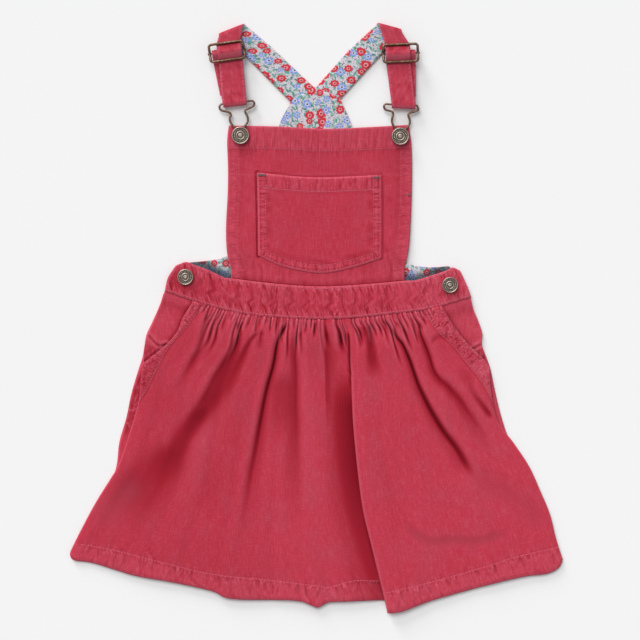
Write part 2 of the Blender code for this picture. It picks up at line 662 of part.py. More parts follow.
def bib_bottom(share):
    x = between(BIB_LEFT[-1][0], BIB_RIGHT[-1][0], share)
    return Vector((x, TOP_OF_BAND.height_at(x) + SEAM_GAP, 0))


def bib_point(column, row):
    top, left, right = (with_height(edge, 0) for edge in BIB_EDGES)
    spot = patch(top, bib_bottom, left, right, column / BIB_COLUMNS, row / BIB_ROWS)
    spot.z = bib_height(spot.x, spot.y)
    return spot


def bib_front():
    return red(cloth("bib_front", bib_point, BIB_COLUMNS, BIB_ROWS, BIB_WALL))


def pocket_point(column, row):
    top, bottom, left, right = (with_height(edge, 0) for edge in POCKET_EDGES)
    u, v = column / POCKET_COLUMNS, row / POCKET_ROWS
    spot = patch(top, bottom, left, right, u, v)
    lie = BIB_WALL / 2 + SEAM_GAP + POCKET_CLEAR + POCKET_WALL / 2
    swell = POCKET_SWELL * math.sin(math.pi * u) * (1 - v) ** 0.5
    spot.z = bib_height(spot.x, spot.y) + lie + swell
    return spot


def bib_pocket():
    return red(cloth("bib_pocket", pocket_point, POCKET_COLUMNS, POCKET_ROWS,
                     POCKET_WALL))


# ================================================================ straps
def arc(centre, radius, start, end):
    """Points round a bar; the direction of travel turns from start to end."""
    count = max(1, math.ceil(abs(end - start) / ARC_STEP))
    spots = []
    for step in range(count + 1):
        heading = between(start, end, step / count)
        spots.append((centre[0] + radius * math.sin(heading),
                      centre[1] - radius * math.cos(heading)))
    return spots


def threaded(start, bars, finish_at):
    """A strap's side view as it runs round bars: each is place, height, signed radius.

    A bar with a positive radius lies on the left of the way the strap runs.
    """
    stops = [(start[0], start[1], 0)] + list(bars) + [(finish_at[0], finish_at[1], 0)]
    headings = []
    for near, far in zip(stops, stops[1:]):
        along, up = far[0] - near[0], far[1] - near[1]
        slant = math.asin((far[2] - near[2]) / math.hypot(along, up))
        headings.append(math.atan2(up, along) - slant)
    for index in range(1, len(headings)):
        while headings[index] - headings[index - 1] > 1.25 * math.pi:
            headings[index] -= 2 * math.pi
        while headings[index] - headings[index - 1] < -1.25 * math.pi:
            headings[index] += 2 * math.pi
    spots = [tuple(start)]
    for bar, into, out in zip(bars, headings, headings[1:]):
        if bar[2] > 0 and out < into:
            out += 2 * math.pi if into - out > 0.5 else 0
        spots += arc(bar, bar[2], into, out)
    return spots + [tuple(finish_at)]


def strap_path(side):
    """Rulings across the whole strap, from the yoke to the sewn-down tail."""
    rulings = []
    for inner, outer in (side.yoke, side.halfway, side.shoulder):
        rulings.append((Vector((*inner, STRAP_FLOOR)), Vector((*outer, STRAP_FLOOR))))

    inner, outer = (Vector(point) for point in side.shoulder)
    outward = Vector((inner.y - outer.y, outer.x - inner.x)).normalized()
    if outward.y < 0:
        outward = -outward
    for step in range(1, SHOULDER_STEPS + 1):
        share = step / SHOULDER_STEPS
        angle = math.pi * share
        reach = outward * SHOULDER_TURN * math.sin(angle)
        height = STRAP_FLOOR + SHOULDER_TURN * (1 - math.cos(angle))
        ends = [Vector(low).lerp(Vector(high), share) + reach
                for low, high in zip(side.shoulder, side.folded)]
        rulings.append(tuple(Vector((*end, height)) for end in ends))

    slider = Vector(side.slider)
    along_bar = Vector((math.cos(math.radians(side.tilt)),
                        math.sin(math.radians(side.tilt))))
    clip = Vector(side.bar)
    lanes = {name: slider + along_bar * offset
             for name, offset in (("strap", side.lane), ("tail", side.tail_lane))}
    length = (clip - lanes["strap"]).length
    folded_middle = (Vector(side.folded[0]) + Vector(side.folded[1])) / 2
    fold_at = (folded_middle - lanes["strap"]).length
    across_fold = Vector(side.folded[1]) - Vector(side.folded[0])
    if across_fold.x < 0:
        across_fold = -across_fold
    fold_tilt = math.degrees(math.atan2(across_fold.y, across_fold.x))

    frame = SLIDER_HEIGHT
    middle = SLIDER_HEIGHT - SLIDER_BAR_DROP
    bar = SLIDER_DEEP / 2
    top = STRAP_FLOOR + 2 * SHOULDER_TURN
    bars = ((bar, frame, -UNDER_BAR), (0, middle, OVER_LOOP), (-bar, frame, -UNDER_BAR),
            (-length, CLIP_HEIGHT, CLIP_TURN),
            (-bar, frame, UNDER_BAR + 2 * NEXT_LAYER), (0, middle, LOOP),
            (-bar, frame, -UNDER_BAR - NEXT_LAYER))
    side_view = threaded((fold_at, top), bars, (TAIL_END, TAIL_END_HEIGHT))
    up = Vector((-along_bar.y, along_bar.x))
    turned = False
    for place, height in side_view[1:]:
        turned = turned or place < -length
        lane = lanes["tail"] if turned else lanes["strap"]
        wide = TAIL_WIDE if turned else STRAP_WIDE
        target, far, end_tilt = clip, length, side.bar_tilt
        if place > 0:
            target, far, end_tilt = folded_middle, fold_at, fold_tilt
        share = max(0, (abs(place) - IN_SLIDER) / (far - IN_SLIDER))
        centre = (lane + up * place).lerp(target, min(share, 1))
        if place < -length:
            centre += up * (place + length)
        tilt = between(side.tilt, end_tilt, min(share, 1))
        across = Vector((math.cos(math.radians(tilt)), math.sin(math.radians(tilt))))
        ends = [centre - across * side.turn * wide / 2,
                centre + across * side.turn * wide / 2]
        rulings.append(tuple(Vector((*end, height)) for end in ends))
    return rulings


def strap_layer(name, side, offset):
    """One of a strap's two layers, offset from the middle towards its red side."""
    rulings = strap_path(side)
    middles = [(inner + outer) / 2 for inner, outer in rulings]
    shifted = []
    for index, (inner, outer) in enumerate(rulings):
        before = middles[max(index - 1, 0)]
        after = middles[min(index + 1, len(middles) - 1)]
        face = (after - before).cross(outer - inner).normalized() * side.turn
        shifted.append((inner + face * offset, outer + face * offset))

    def point_at(column, row):
        return shifted[column][row]
    return cloth(name, point_at, len(shifted) - 1, 1, STRAP_WALL)


def straps():
    offset = SEAM_GAP / 2 + STRAP_WALL / 2
    for side in (LEFT, RIGHT):
        red(strap_layer(f"strap_{side.name}", side, offset))
        lining(strap_layer(f"strap_lining_{side.name}", side, -offset))


# ================================================================ hardware
def brass(object_):
    return finish(object_, ANTIQUE_BRASS, 0.42, 0.9)


def slider(side):
    """A rectangle of wire with a middle bar that the strap's end is sewn round."""
    name = f"slider_{side.name}"
    points = []
    half_wide, half_deep = SLIDER_WIDE / 2, SLIDER_DEEP / 2
    corners = ((1, 1, 0), (-1, 1, 90), (-1, -1, 180), (1, -1, 270))
    for across, up, first in corners:
        for turned in (0, 30, 60, 90):
            angle = math.radians(first + turned)
            points.append((across * (half_wide - SLIDER_CORNER)
                           + SLIDER_CORNER * math.cos(angle),
                           up * (half_deep - SLIDER_CORNER)
                           + SLIDER_CORNER * math.sin(angle), SLIDER_HEIGHT))
    points = [turned_about(point, side) for point in with_dipped_sides(points)]
    ring = wire_ring(name + "_ring", points, SLIDER_WIRE)
    bpy.context.view_layer.update()
    shape = bpy.data.meshes.new_from_object(
        ring.evaluated_get(bpy.context.evaluated_depsgraph_get()))
    shape.name = name
    frame = bpy.data.objects.new(name, shape)
    bpy.data.objects.remove(ring)
    bpy.context.scene.collection.objects.link(frame)

    rod = bmesh.new()
    bmesh.ops.create_cone(rod, cap_ends=True, segments=12, radius1=SLIDER_BAR * MM,
                          radius2=SLIDER_BAR * MM,
                          depth=(SLIDER_WIDE + 2 * SLIDER_WIRE + 2 * SLIDER_NUB) * MM)
    mesh = bpy.data.meshes.new(name + "_bar")
    rod.to_mesh(mesh)
    rod.free()
    bar = bpy.data.objects.new(name + "_bar", mesh)
    bar.location = Vector((*side.slider, SLIDER_HEIGHT - SLIDER_BAR_DROP)) * MM
    bar.rotation_euler = (math.radians(90), 0, math.radians(90 + side.tilt))
    bar.hide_render = True
    bar.display_type = "WIRE"
    bpy.data.collections["pinafore_helpers"].objects.link(bar)
    join = frame.modifiers.new("Middle bar", "BOOLEAN")
    join.operation = "UNION"
    join.object = bar
    return brass(frame)


def with_dipped_sides(points):
    """Add points half-way down the short sides, where they dip to the middle bar."""
    dip = SLIDER_HEIGHT - SLIDER_BAR_DROP
    shaped = []
    for index, point in enumerate(points):
        shaped.append(point)
        following = points[(index + 1) % len(points)]
        if abs(point[0] - following[0]) < 0.01 and point[1] * following[1] < 0:
            away = math.copysign(SLIDER_DIP, point[1])
            shaped.append((point[0], away, dip + SLIDER_DIP_RISE))
            shaped.append((point[0], 0, dip))
            shaped.append((point[0], -away, dip + SLIDER_DIP_RISE))
    return shaped


def turned_about(point, side):
    angle = math.radians(side.tilt)
    x, y, z = point
    return (side.slider[0] + x * math.cos(angle) - y * math.sin(angle),
            side.slider[1] + x * math.sin(angle) + y * math.cos(angle), z)


def clip(side):
    """A bent wire: its straight bar holds the strap, its throat hooks a button."""
    bar_start, bar_end, *bends = side.clip
    ring = Route(bends + [side.clip[0]])
    bent = [ring.at(step / CLIP_STEPS) for step in range(CLIP_STEPS)]
    straight = [Vector(bar_start), Vector(bar_end)]
    points = [(*spot, CLIP_HEIGHT) for spot in straight + bent]
    return brass(wire_ring(f"clip_{side.name}", points, CLIP_WIRE))


def button(name, place, radius, foot, cap):
    """A turned jeans button: foot on the cloth, stem, and a wide cap with rings."""
    profile = [(share * radius, cap + height) for share, height in BUTTON_CAP]
    flare = foot + BUTTON_FOOT_WALL
    profile += [(BUTTON_STEM, cap), (BUTTON_STEM, flare + BUTTON_FLARE),
                (BUTTON_FOOT, flare), (BUTTON_FOOT, foot), (0, foot)]
    shape = bmesh.new()
    verts = [shape.verts.new((across * MM, 0, height * MM)) for across, height in profile]
    for upper, lower in zip(verts, verts[1:]):
        shape.edges.new((upper, lower))
    mesh = bpy.data.meshes.new(name)
    shape.to_mesh(mesh)
    shape.free()
    object_ = bpy.data.objects.new(name, mesh)
    object_.location = (place[0] * MM, place[1] * MM, 0)
    bpy.context.scene.collection.objects.link(object_)
    screw = object_.modifiers.new("Turn", "SCREW")
    screw.steps = BUTTON_STEPS
    screw.render_steps = BUTTON_STEPS
    screw.use_merge_vertices = True
    screw.merge_threshold = BUTTON_MERGE
    screw.use_smooth_shade = False
    return finish(object_, OLD_SILVER, 0.4, 0.9)


def hardware():
    for side in (LEFT, RIGHT):
        slider(side)
        clip(side)
        button(f"bib_button_{side.name}", side.button, BIB_BUTTON, BIB_BUTTON_FOOT,
               BIB_BUTTON_CAP)
        button(f"side_button_{side.name}", side.side_button, SIDE_BUTTON,
               SIDE_BUTTON_FOOT, SIDE_BUTTON_CAP)


# ================================================================ the dress
def clear_scene():
    for object_ in list(bpy.data.objects):
        bpy.data.objects.remove(object_)
    for name in ("pinafore_dress", "pinafore_helpers"):
        bpy.context.scene.collection.children.link(bpy.data.collections.new(name))


def main():
    clear_scene()
    skirt_back()
    waistband_back()
    bib_back()
    back_lining()
    pocket_facing("pocket_facing_left", FACING_LEFT)
    pocket_facing("pocket_facing_right", FACING_RIGHT)
    skirt_front()
    waistband_front()
    bib_front()
    bib_pocket()
    straps()
    hardware()


main()
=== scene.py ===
# %% [markdown]
# # A needlecord pinafore dress, laid flat
#
# The dress lies on its back on a pale table: a gathered skirt with one deep pleat, a
# buttoned waistband, a bib with a pocket, a printed lining, and two straps with
# sliders and wire clips. The frame already holds every piece as a plain solid. This
# script gives each piece its cloth or metal, its folds, its sewing and its wear.
#
# Every cloth piece is made the same way. A flat grid is bent to its place by a small
# function of how far across and how far along the piece a point lies. That keeps the
# ribs of the cord, the print and the seams tied to the cloth, whatever it does.

import math
from collections import namedtuple

import bmesh
import bpy
import numpy as np
from mathutils import Matrix, Vector
from mathutils.bvhtree import BVHTree


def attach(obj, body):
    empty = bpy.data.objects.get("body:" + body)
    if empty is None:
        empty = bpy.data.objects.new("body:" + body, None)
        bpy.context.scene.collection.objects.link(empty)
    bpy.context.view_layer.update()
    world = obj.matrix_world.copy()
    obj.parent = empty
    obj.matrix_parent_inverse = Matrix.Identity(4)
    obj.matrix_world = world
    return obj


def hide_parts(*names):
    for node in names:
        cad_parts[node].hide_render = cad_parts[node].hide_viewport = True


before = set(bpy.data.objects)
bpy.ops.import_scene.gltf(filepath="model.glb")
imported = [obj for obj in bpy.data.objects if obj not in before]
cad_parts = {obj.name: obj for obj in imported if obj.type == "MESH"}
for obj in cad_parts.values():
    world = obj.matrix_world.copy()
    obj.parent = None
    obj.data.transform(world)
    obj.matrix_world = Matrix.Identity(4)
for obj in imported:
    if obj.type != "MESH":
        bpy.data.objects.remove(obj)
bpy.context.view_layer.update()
MM = 0.001

# %% [markdown]
# ## Camera, light and table
#
# The dress is seen from straight above, through a long lens, so that its edges stay
# where they are drawn. Two wide lights stand beyond the shoulders. The higher one gives
# each fold a lit side and a dim one, and the low one draws out a soft shadow below the
# hem. Both are suns with large discs, as strong at one end of the table as at the
# other. The bright surroundings keep the shadows pale. The colours are shown with the
# plain Standard transform, so that a dye keeps the colour it is given.

# %% Camera and light
VIEW_WIDTH = 640 * MM
VIEW_CENTRE = (3.5 * MM, -3 * MM)
LENS = 85
IN_SCALE = 4 * MM  # height that fills the view at its stated width
SURROUND = 0.445
LIGHTS = (  # name, the way towards the light, strength, disc in degrees
    ("sky", (-0.34, 0.72, 1.0), 1.78, 40),
    ("window", (-0.50, 1.0, 0.29), 2.2, 20),
)

scene = bpy.context.scene
scene.view_settings.view_transform = "Standard"
surround = bpy.data.worlds.new("surround")
surround.use_nodes = True
surround.node_tree.nodes["Background"].inputs["Color"].default_value = (1, 1, 1, 1)
surround.node_tree.nodes["Background"].inputs["Strength"].default_value = SURROUND
scene.world = surround


def placed(name, data):
    """An object of the data, in the scene."""
    thing = bpy.data.objects.new(name, data)
    scene.collection.objects.link(thing)
    return thing


camera = placed("camera", bpy.data.cameras.new("camera"))
camera.data.lens = LENS
camera.location = (*VIEW_CENTRE,
                   VIEW_WIDTH * LENS / camera.data.sensor_width + IN_SCALE)
scene.camera = camera

for name, way, strength, disc in LIGHTS:
    light = placed(name, bpy.data.lights.new(name, "SUN"))
    light.data.energy = strength
    light.data.angle = math.radians(disc)
    light.rotation_euler = Vector(way).to_track_quat("Z", "Y").to_euler()
print("camera at", tuple(round(value, 3) for value in camera.location))

# %% [markdown]
# ## Writing materials as sums
#
# A material is a small network of nodes. To read like a formula, each socket is
# wrapped in a Value that knows + - * and /, and adds the Math node that does it.
# All other nodes come from one method of Finish. Colours are laid on in coats.


# %% Helper: materials
def reckoning(operation, swapped=False):
    """A method of Value that reckons with another value or number."""
    def reckon(self, other):
        return self.maths(operation, *((other, self) if swapped else (self, other)))
    return reckon


class Value:
    """A socket that other values can be reckoned with."""

    def __init__(self, finish, socket):
        self.finish = finish
        self.socket = socket

    def maths(self, operation, *values):
        return self.finish.node("Math", {"operation": operation},
                                dict(enumerate(values)))

    __add__ = __radd__ = reckoning("ADD")
    __mul__ = __rmul__ = reckoning("MULTIPLY")
    __sub__, __rsub__ = reckoning("SUBTRACT"), reckoning("SUBTRACT", swapped=True)
    __truediv__ = reckoning("DIVIDE")
    least, most = reckoning("MINIMUM"), reckoning("MAXIMUM")

    def sine(self):
        return self.maths("SINE", self)

    def size(self):
        return self.maths("ABSOLUTE", self)

    def rise(self, low, high, kind="SMOOTHSTEP"):
        """0 at low, 1 at high, soft at both ends; low may be the larger."""
        return self.finish.node("MapRange", {"interpolation_type": kind},
                                {0: self, 1: low, 2: high})

    def part(self, index):
        """One of a vector's three numbers."""
        return self.finish.node("SeparateXYZ", {}, {0: self}, index)

    def stretched(self, x, y, z=1):
        return self.finish.node("VectorMath", {"operation": "MULTIPLY"},
                                {0: self, 1: (x, y, z)})


class Finish:
    """A material under construction."""

    def __init__(self, name, **constants):
        self.material = bpy.data.materials.new(name)
        self.material.use_nodes = True
        self.nodes = self.material.node_tree.nodes
        self.links = self.material.node_tree.links
        self.shader = self.nodes["Principled BSDF"]
        for socket, value in constants.items():
            self.shader.inputs[socket.replace("_", " ")].default_value = value

    def node(self, kind, settings, sockets, output=0):
        made = self.nodes.new("ShaderNode" + kind)
        for setting, value in settings.items():
            setattr(made, setting, value)
        for key, value in sockets.items():
            if isinstance(value, Value):
                self.links.new(value.socket, made.inputs[key])
            else:
                made.inputs[key].default_value = value
        return Value(self, made.outputs[output])

    def mix(self, factor, colour_a, colour_b):
        """Colour a where the factor is 0, colour b where it is 1."""
        ends = [colour if isinstance(colour, Value) else (*colour, 1)
                for colour in (colour_a, colour_b)]
        return self.node("Mix", {"data_type": "RGBA"},
                         {0: factor, 6: ends[0], 7: ends[1]}, 2)

    def layered(self, colour, *coats):
        """A colour with others laid over it, each as far as its own factor says."""
        for factor, coat in coats:
            colour = self.mix(factor, colour, coat)
        return colour

    def map(self, name):
        return self.node("UVMap", {"uv_map": name}, {})

    def attribute(self, name):
        return self.node("Attribute", {"attribute_name": name}, {}, "Fac")

    def noise(self, where, scale, detail=2.0, roughness=0.5):
        return self.node("TexNoise", {}, {"Vector": where, "Scale": scale,
                                          "Detail": detail, "Roughness": roughness})

    def bump(self, height, distance):
        bumped = self.node("Bump", {}, {"Height": height, "Distance": distance})
        self.links.new(bumped.socket, self.shader.inputs["Normal"])

    def feed(self, **values):
        for socket, value in values.items():
            self.links.new(value.socket, self.shader.inputs[socket.replace("_", " ")])


# %% [markdown]
# ## The needlecord
#
# Needlecord is cotton velvet cut in fine ribs, here about 1.2 mm apart, along the
# length of the cloth. It was dyed as a finished garment and washed, so it is mottled
# and it has rubbed paler on every edge, seam and crest. Shade and highlight are also
# painted into its colour: dips, folds and slits are painted darker, down to near
# black, and crests get a painted highlight on top of their wear. Three numbers that
# each sheet carries say where: the wear number is 1 on edges and seams and also holds
# the painted highlights, "hollow" is above a half in dips and below it on crests and
# holds the painted shade, and "drawn" says how far the sewing puckers the cloth. The
# puckers themselves are noise on a second map, "seam", which is measured along the
# nearest seam and away from it, so that they always cross it; their troughs are
# painted darker and their crests paler. The short pile catches light at a slant, which
# is what sheen is for.

# %% Needlecord
RIB = 1.2 * MM
CORD_RED = (0.492, 0.0350, 0.0630)
CORD_PALE = (0.640, 0.130, 0.190)
# Painted shade, from dim to near black, for dips, folds and slits:
CORD_DIM = (0.330, 0.0130, 0.0270)
CORD_SHADE = (0.175, 0.0030, 0.0105)
CORD_DARKEST_SHADE = (0.045, 0.0006, 0.0025)
CORD_DUSTY = (0.400, 0.062, 0.092)


def needlecord():
    cord = Finish("needlecord", Specular_IOR_Level=0.06, Sheen_Weight=0.05,
                  Sheen_Roughness=0.5, Sheen_Tint=(1.0, 0.45, 0.52, 1))
    where = cord.map("cloth")
    hollow, worn, drawn = [cord.attribute(name) for name in ("hollow", "worn", "drawn")]
    blotches = cord.noise(where, 30, 3)
    warp = cord.noise(where.stretched(820, 90), 1, 2)
    weft = cord.noise(where.stretched(140, 900), 1, 2)
    grain = cord.noise(where, 1300, 2)
    pucker = cord.noise(cord.map("seam").stretched(300, 75), 1, 1.5)
    broken = cord.noise(where, 170, 1).rise(0.36, 0.54)
    line = (pucker - 0.5).size().rise(0.045, 0.0) * broken
    crest = line.most(pucker.rise(0.60, 0.76) * 0.55) * drawn
    trough = pucker.rise(0.47, 0.33) * drawn
    rubbed = worn * (0.45 + 0.55 * grain.rise(0.35, 0.60)) + crest * 0.65
    # The coats: mottled dye and ribs, a painted highlight on crests, painted shade in the
    # pucker troughs and in the hollows from dim to near black, then paler wear that also
    # holds painted highlights.
    colour = cord.layered(
        CORD_RED,
        (blotches.rise(0.42, 0.75) * 0.30, CORD_DUSTY),
        (warp.rise(0.42, 0.72) * 0.20 + weft.rise(0.45, 0.75) * 0.18, CORD_PALE),
        (hollow.rise(0.38, 0.10) * 0.30, CORD_PALE),
        (trough * 0.55, CORD_SHADE),
        (hollow.rise(0.40, 0.60, "LINEAR"), CORD_DIM),
        (hollow.rise(0.60, 0.80, "LINEAR"), CORD_SHADE),
        (hollow.rise(0.78, 1.00, "LINEAR"), CORD_DARKEST_SHADE),
        (rubbed.least(1) * 0.80, CORD_PALE))
    ribs = (where.part(0) * (2 * math.pi / RIB) + warp * 1.5).sine()
    cord.bump(ribs * 0.30 + grain * 0.35 + warp * 0.40 + weft * 0.2 + crest * 0.8
              - trough * 1.6, 0.16 * MM)
    cord.feed(Base_Color=colour, Roughness=0.82 + grain * 0.12)
    return cord.material


NEEDLECORD = needlecord()
print("material:", NEEDLECORD.name)

# %% [markdown]
# ## The printed lining
#
# The lining is a light cotton with a scattered flower print. Three layers of cells
# scatter the motifs: each cell has one flower, leaf or stroke near its middle, turned
# and coloured by the cell's own random number. Inside a cell, distance and direction
# from the middle draw the petals. Nothing repeats in rows, as in a real ditsy print.

# %% Helper: motifs
def scattered(cloth, where, cell, looseness, shift=0.0):
    """For each point: where it lies in its cell's motif, in mm, and the cell's dice."""
    spread = cloth.node("VectorMath", {"operation": "ADD"},
                        {0: where.stretched(1 / cell, 1 / cell), 1: (shift, shift, 0)})
    settings = {"voronoi_dimensions": "2D"}
    sockets = {"Vector": spread, "Scale": 1.0, "Randomness": looseness}
    middle = cloth.node("TexVoronoi", settings, sockets, "Position")
    dice = cloth.node("TexVoronoi", settings, sockets, "Color")
    offset = cloth.node("VectorMath", {"operation": "SUBTRACT"}, {0: spread, 1: middle})
    turn = cloth.node("VectorRotate", {"rotation_type": "Z_AXIS"},
                      {"Vector": offset, "Angle": dice.part(1) * (2 * math.pi)})
    return turn.stretched(cell / MM, cell / MM), dice


def petals(cloth, spot, radius, count):
    """Distance from a flower's middle as a share of its radius, and its petals' gaps."""
    reach = cloth.node("VectorMath", {"operation": "LENGTH"}, {0: spot}, "Value")
    reach = reach + (cloth.noise(spot, 0.55, 1) - 0.5) * 1.5
    angle = spot.part(1).maths("ARCTAN2", spot.part(1), spot.part(0))
    scallop = (angle * count).sine()
    return reach / (radius * (1 + 0.11 * scallop)), scallop


def oval(spot, length, width, bend=0.0):
    """1 inside a leaf-shaped oval, bent like a comma."""
    along = spot.part(0) / length
    side = (spot.part(1) + spot.part(0) * spot.part(0) * bend) / width
    return (along * along + side * side).rise(1.2, 0.7)


# %% Printed cotton
PRINT_GROUND = (0.640, 0.615, 0.640)
PRINT_SHADE = (0.360, 0.330, 0.420)
POPPY = (0.610, 0.020, 0.038)
POPPY_DARK = (0.300, 0.008, 0.020)
PALE_PINK = (0.740, 0.420, 0.430)
CORNFLOWER = (0.175, 0.270, 0.640)
CORNFLOWER_PALE = (0.400, 0.480, 0.760)
LEAF = (0.075, 0.290, 0.215)
LEAF_PALE = (0.230, 0.460, 0.400)
NAVY = (0.024, 0.036, 0.105)
PRINT_WEAVE = (0.34, 0.34, 0.38)
# Painted shade on the lining where other cloth stands over it:
PRINT_IN_SHADE = (0.012, 0.015, 0.030)
FLOWER_CELL = 10.6 * MM
LEAF_CELLS = ((5.2 * MM, 0.0), (6.3 * MM, 3.7))  # size, and shift in cells
STROKE_CELLS = ((4.6 * MM, 1.3), (6.1 * MM, 5.9))


def printed_cotton():
    cloth = Finish("printed_cotton", Specular_IOR_Level=0.20, Sheen_Weight=0.05)
    where = cloth.map("cloth")
    weave = cloth.noise(where, 2400, 1)
    speckle = cloth.noise(where, 820, 1)
    hollow = cloth.attribute("hollow")
    colour = cloth.layered(
        PRINT_GROUND, (speckle.rise(0.45, 0.64) * 0.85, PRINT_SHADE),
        (cloth.noise(where, 640, 1).rise(0.60, 0.72) * 0.45, PALE_PINK))
    for cell, shift in LEAF_CELLS:
        spot, dice = scattered(cloth, where, cell, 0.95, shift)
        leaf = oval(spot, 2.5, 1.05, 0.10) * dice.part(0).rise(0.34, 0.38)
        colour = cloth.mix(leaf, colour, cloth.mix(dice.part(2), LEAF, LEAF_PALE))
    for cell, shift in STROKE_CELLS:
        spot, dice = scattered(cloth, where, cell, 1.0, shift)
        stroke = oval(spot, 1.6, 0.36, 0.25) * dice.part(0).rise(0.18, 0.22)
        colour = cloth.mix(stroke * 0.9, colour, NAVY)
    spot, dice = scattered(cloth, where, FLOWER_CELL, 0.74)
    red = dice.part(0).rise(0.47, 0.48)
    out, gaps = petals(cloth, spot, 3.2 + dice.part(2) * 1.9, 8)
    poppy = cloth.layered(
        POPPY, (gaps.rise(0.2, -0.9) * out.rise(0.45, 0.9) * 0.6, POPPY_DARK),
        (out.rise(0.48, 0.38) * 0.75, PALE_PINK), (out.rise(0.27, 0.20), POPPY_DARK))
    colour = cloth.mix(out.rise(1.05, 0.95) * red, colour, poppy)
    out, gaps = petals(cloth, spot, 2.4 + dice.part(2) * 1.9, 6)
    blue = cloth.layered(
        CORNFLOWER, (gaps.rise(0.3, -0.8) * 0.7, CORNFLOWER_PALE),
        (out.rise(0.48, 0.40) * out.rise(0.22, 0.28), PRINT_GROUND),
        (out.rise(0.26, 0.18), NAVY))
    # Over the flowers: the weave, and painted shade where the hollow value is high.
    colour = cloth.layered(
        colour, (out.rise(1.06, 0.94) * (1 - red), blue),
        (weave.rise(0.3, 0.8) * 0.12, PRINT_WEAVE),
        (hollow.rise(0.42, 0.80) * 0.86, PRINT_IN_SHADE))
    cloth.bump(weave, 0.06 * MM)
    cloth.feed(Base_Color=colour, Roughness=0.78 + weave * 0.1)
    return cloth.material


PRINTED_COTTON = printed_cotton()
print("material:", PRINTED_COTTON.name, len(PRINTED_COTTON.node_tree.nodes), "nodes")

# %% [markdown]
# ## Metal and thread
#
# The sliders and clips are steel wire with a dark antique brass plating that has rubbed
# through where it is handled, on top. The buttons are cast, silvered, and blackened
# in their hollows. The sewing thread took the dye more palely than the cloth.


# %% Metal and thread
BRASS_DARK, BRASS_RUBBED = (0.150, 0.080, 0.052), (0.400, 0.280, 0.205)
SILVER_BRIGHT, SILVER_BLACK = (0.430, 0.370, 0.315), (0.120, 0.090, 0.074)


def antique_brass():
    metal = Finish("antique_brass", Metallic=1.0)
    where = metal.node("TexCoord", {}, {}, "Object")
    facing = metal.node("NewGeometry", {}, {}, "Normal").part(2)
    patches = metal.noise(where, 420, 3)
    rubbed = facing.rise(0.60, 1.0) * patches.rise(0.38, 0.70)
    colour = metal.mix(rubbed * 0.6, BRASS_DARK, BRASS_RUBBED)
    metal.bump(metal.noise(where, 1800, 2), 0.05 * MM)
    metal.feed(Base_Color=colour, Roughness=0.52 - rubbed * 0.10)
    return metal.material


def old_silver():
    metal = Finish("old_silver", Metallic=1.0)
    where = metal.node("TexCoord", {}, {}, "Object")
    hollow = metal.attribute("hollow")
    patches = metal.noise(where, 900, 3)
    black = (hollow + patches * 0.7 - 0.25).rise(0.15, 0.80)
    colour = metal.mix(black, SILVER_BRIGHT, SILVER_BLACK)
    metal.bump(patches, 0.06 * MM)
    metal.feed(Base_Color=colour, Roughness=0.36 + black * 0.3)
    return metal.material


def thread(name, colour, shade):
    strand = Finish(name, Specular_IOR_Level=0.15)
    where = strand.node("TexCoord", {}, {}, "Object")
    twist = strand.noise(where, 2400, 1)
    strand.feed(Base_Color=strand.mix(twist.rise(0.3, 0.7), shade, colour),
                Roughness=0.6 + twist * 0.2)
    strand.bump(twist, 0.05 * MM)
    return strand.material


ANTIQUE_BRASS = antique_brass()
OLD_SILVER = old_silver()
PINK_THREAD = thread("pink_thread", (0.66, 0.18, 0.24), (0.55, 0.08, 0.13))
GREY_THREAD = thread("grey_thread", (0.20, 0.18, 0.18), (0.09, 0.07, 0.08))
print("materials:", [made.name for made in (ANTIQUE_BRASS, OLD_SILVER, PINK_THREAD,
                                            GREY_THREAD)])

# %% [markdown]
# ## Lines and sheets
#
# A Line is a smooth curve through a few points. It answers three questions: which point
# lies at a share of its length, how high it is at a given x, and how far a point is
# from it and on which side. A sheet starts as a grid. Its place function gets two
# arrays, how far across and how far down each point is, and gives back a Lie: where the
# point lies, where it was on the flat cloth, how worn it is with the painted highlights
# it gets, how much painted shade and darker dye it gets, how far the sewing draws it
# up, and its place along and away from that sewing. Lengths are in millimetres, and
# wear, shade and drawing up run from 0 to 1.


# %% Helper: lines
def blend(a, b, c, d, t):
    """A Catmull-Rom curve from b to c."""
    return 0.5 * (2 * b + (c - a) * t + (2 * a - 5 * b + 4 * c - d) * t ** 2
                  + (3 * b - 3 * c + d - a) * t ** 3)


def ease(low, high, value):
    """0 at low, 1 at high, soft at both ends; low may be the larger."""
    share = np.clip((value - low) / (high - low), 0, 1)
    return share * share * (3 - 2 * share)


def between(low, high, share):
    return low + (high - low) * share


def stacked(*columns):
    """Columns of numbers side by side, as one array of points."""
    return np.column_stack(columns)


def bell(distance, width):
    """1 at a line, falling softly to nothing at about twice the width."""
    return np.exp(-(distance / width) ** 2)


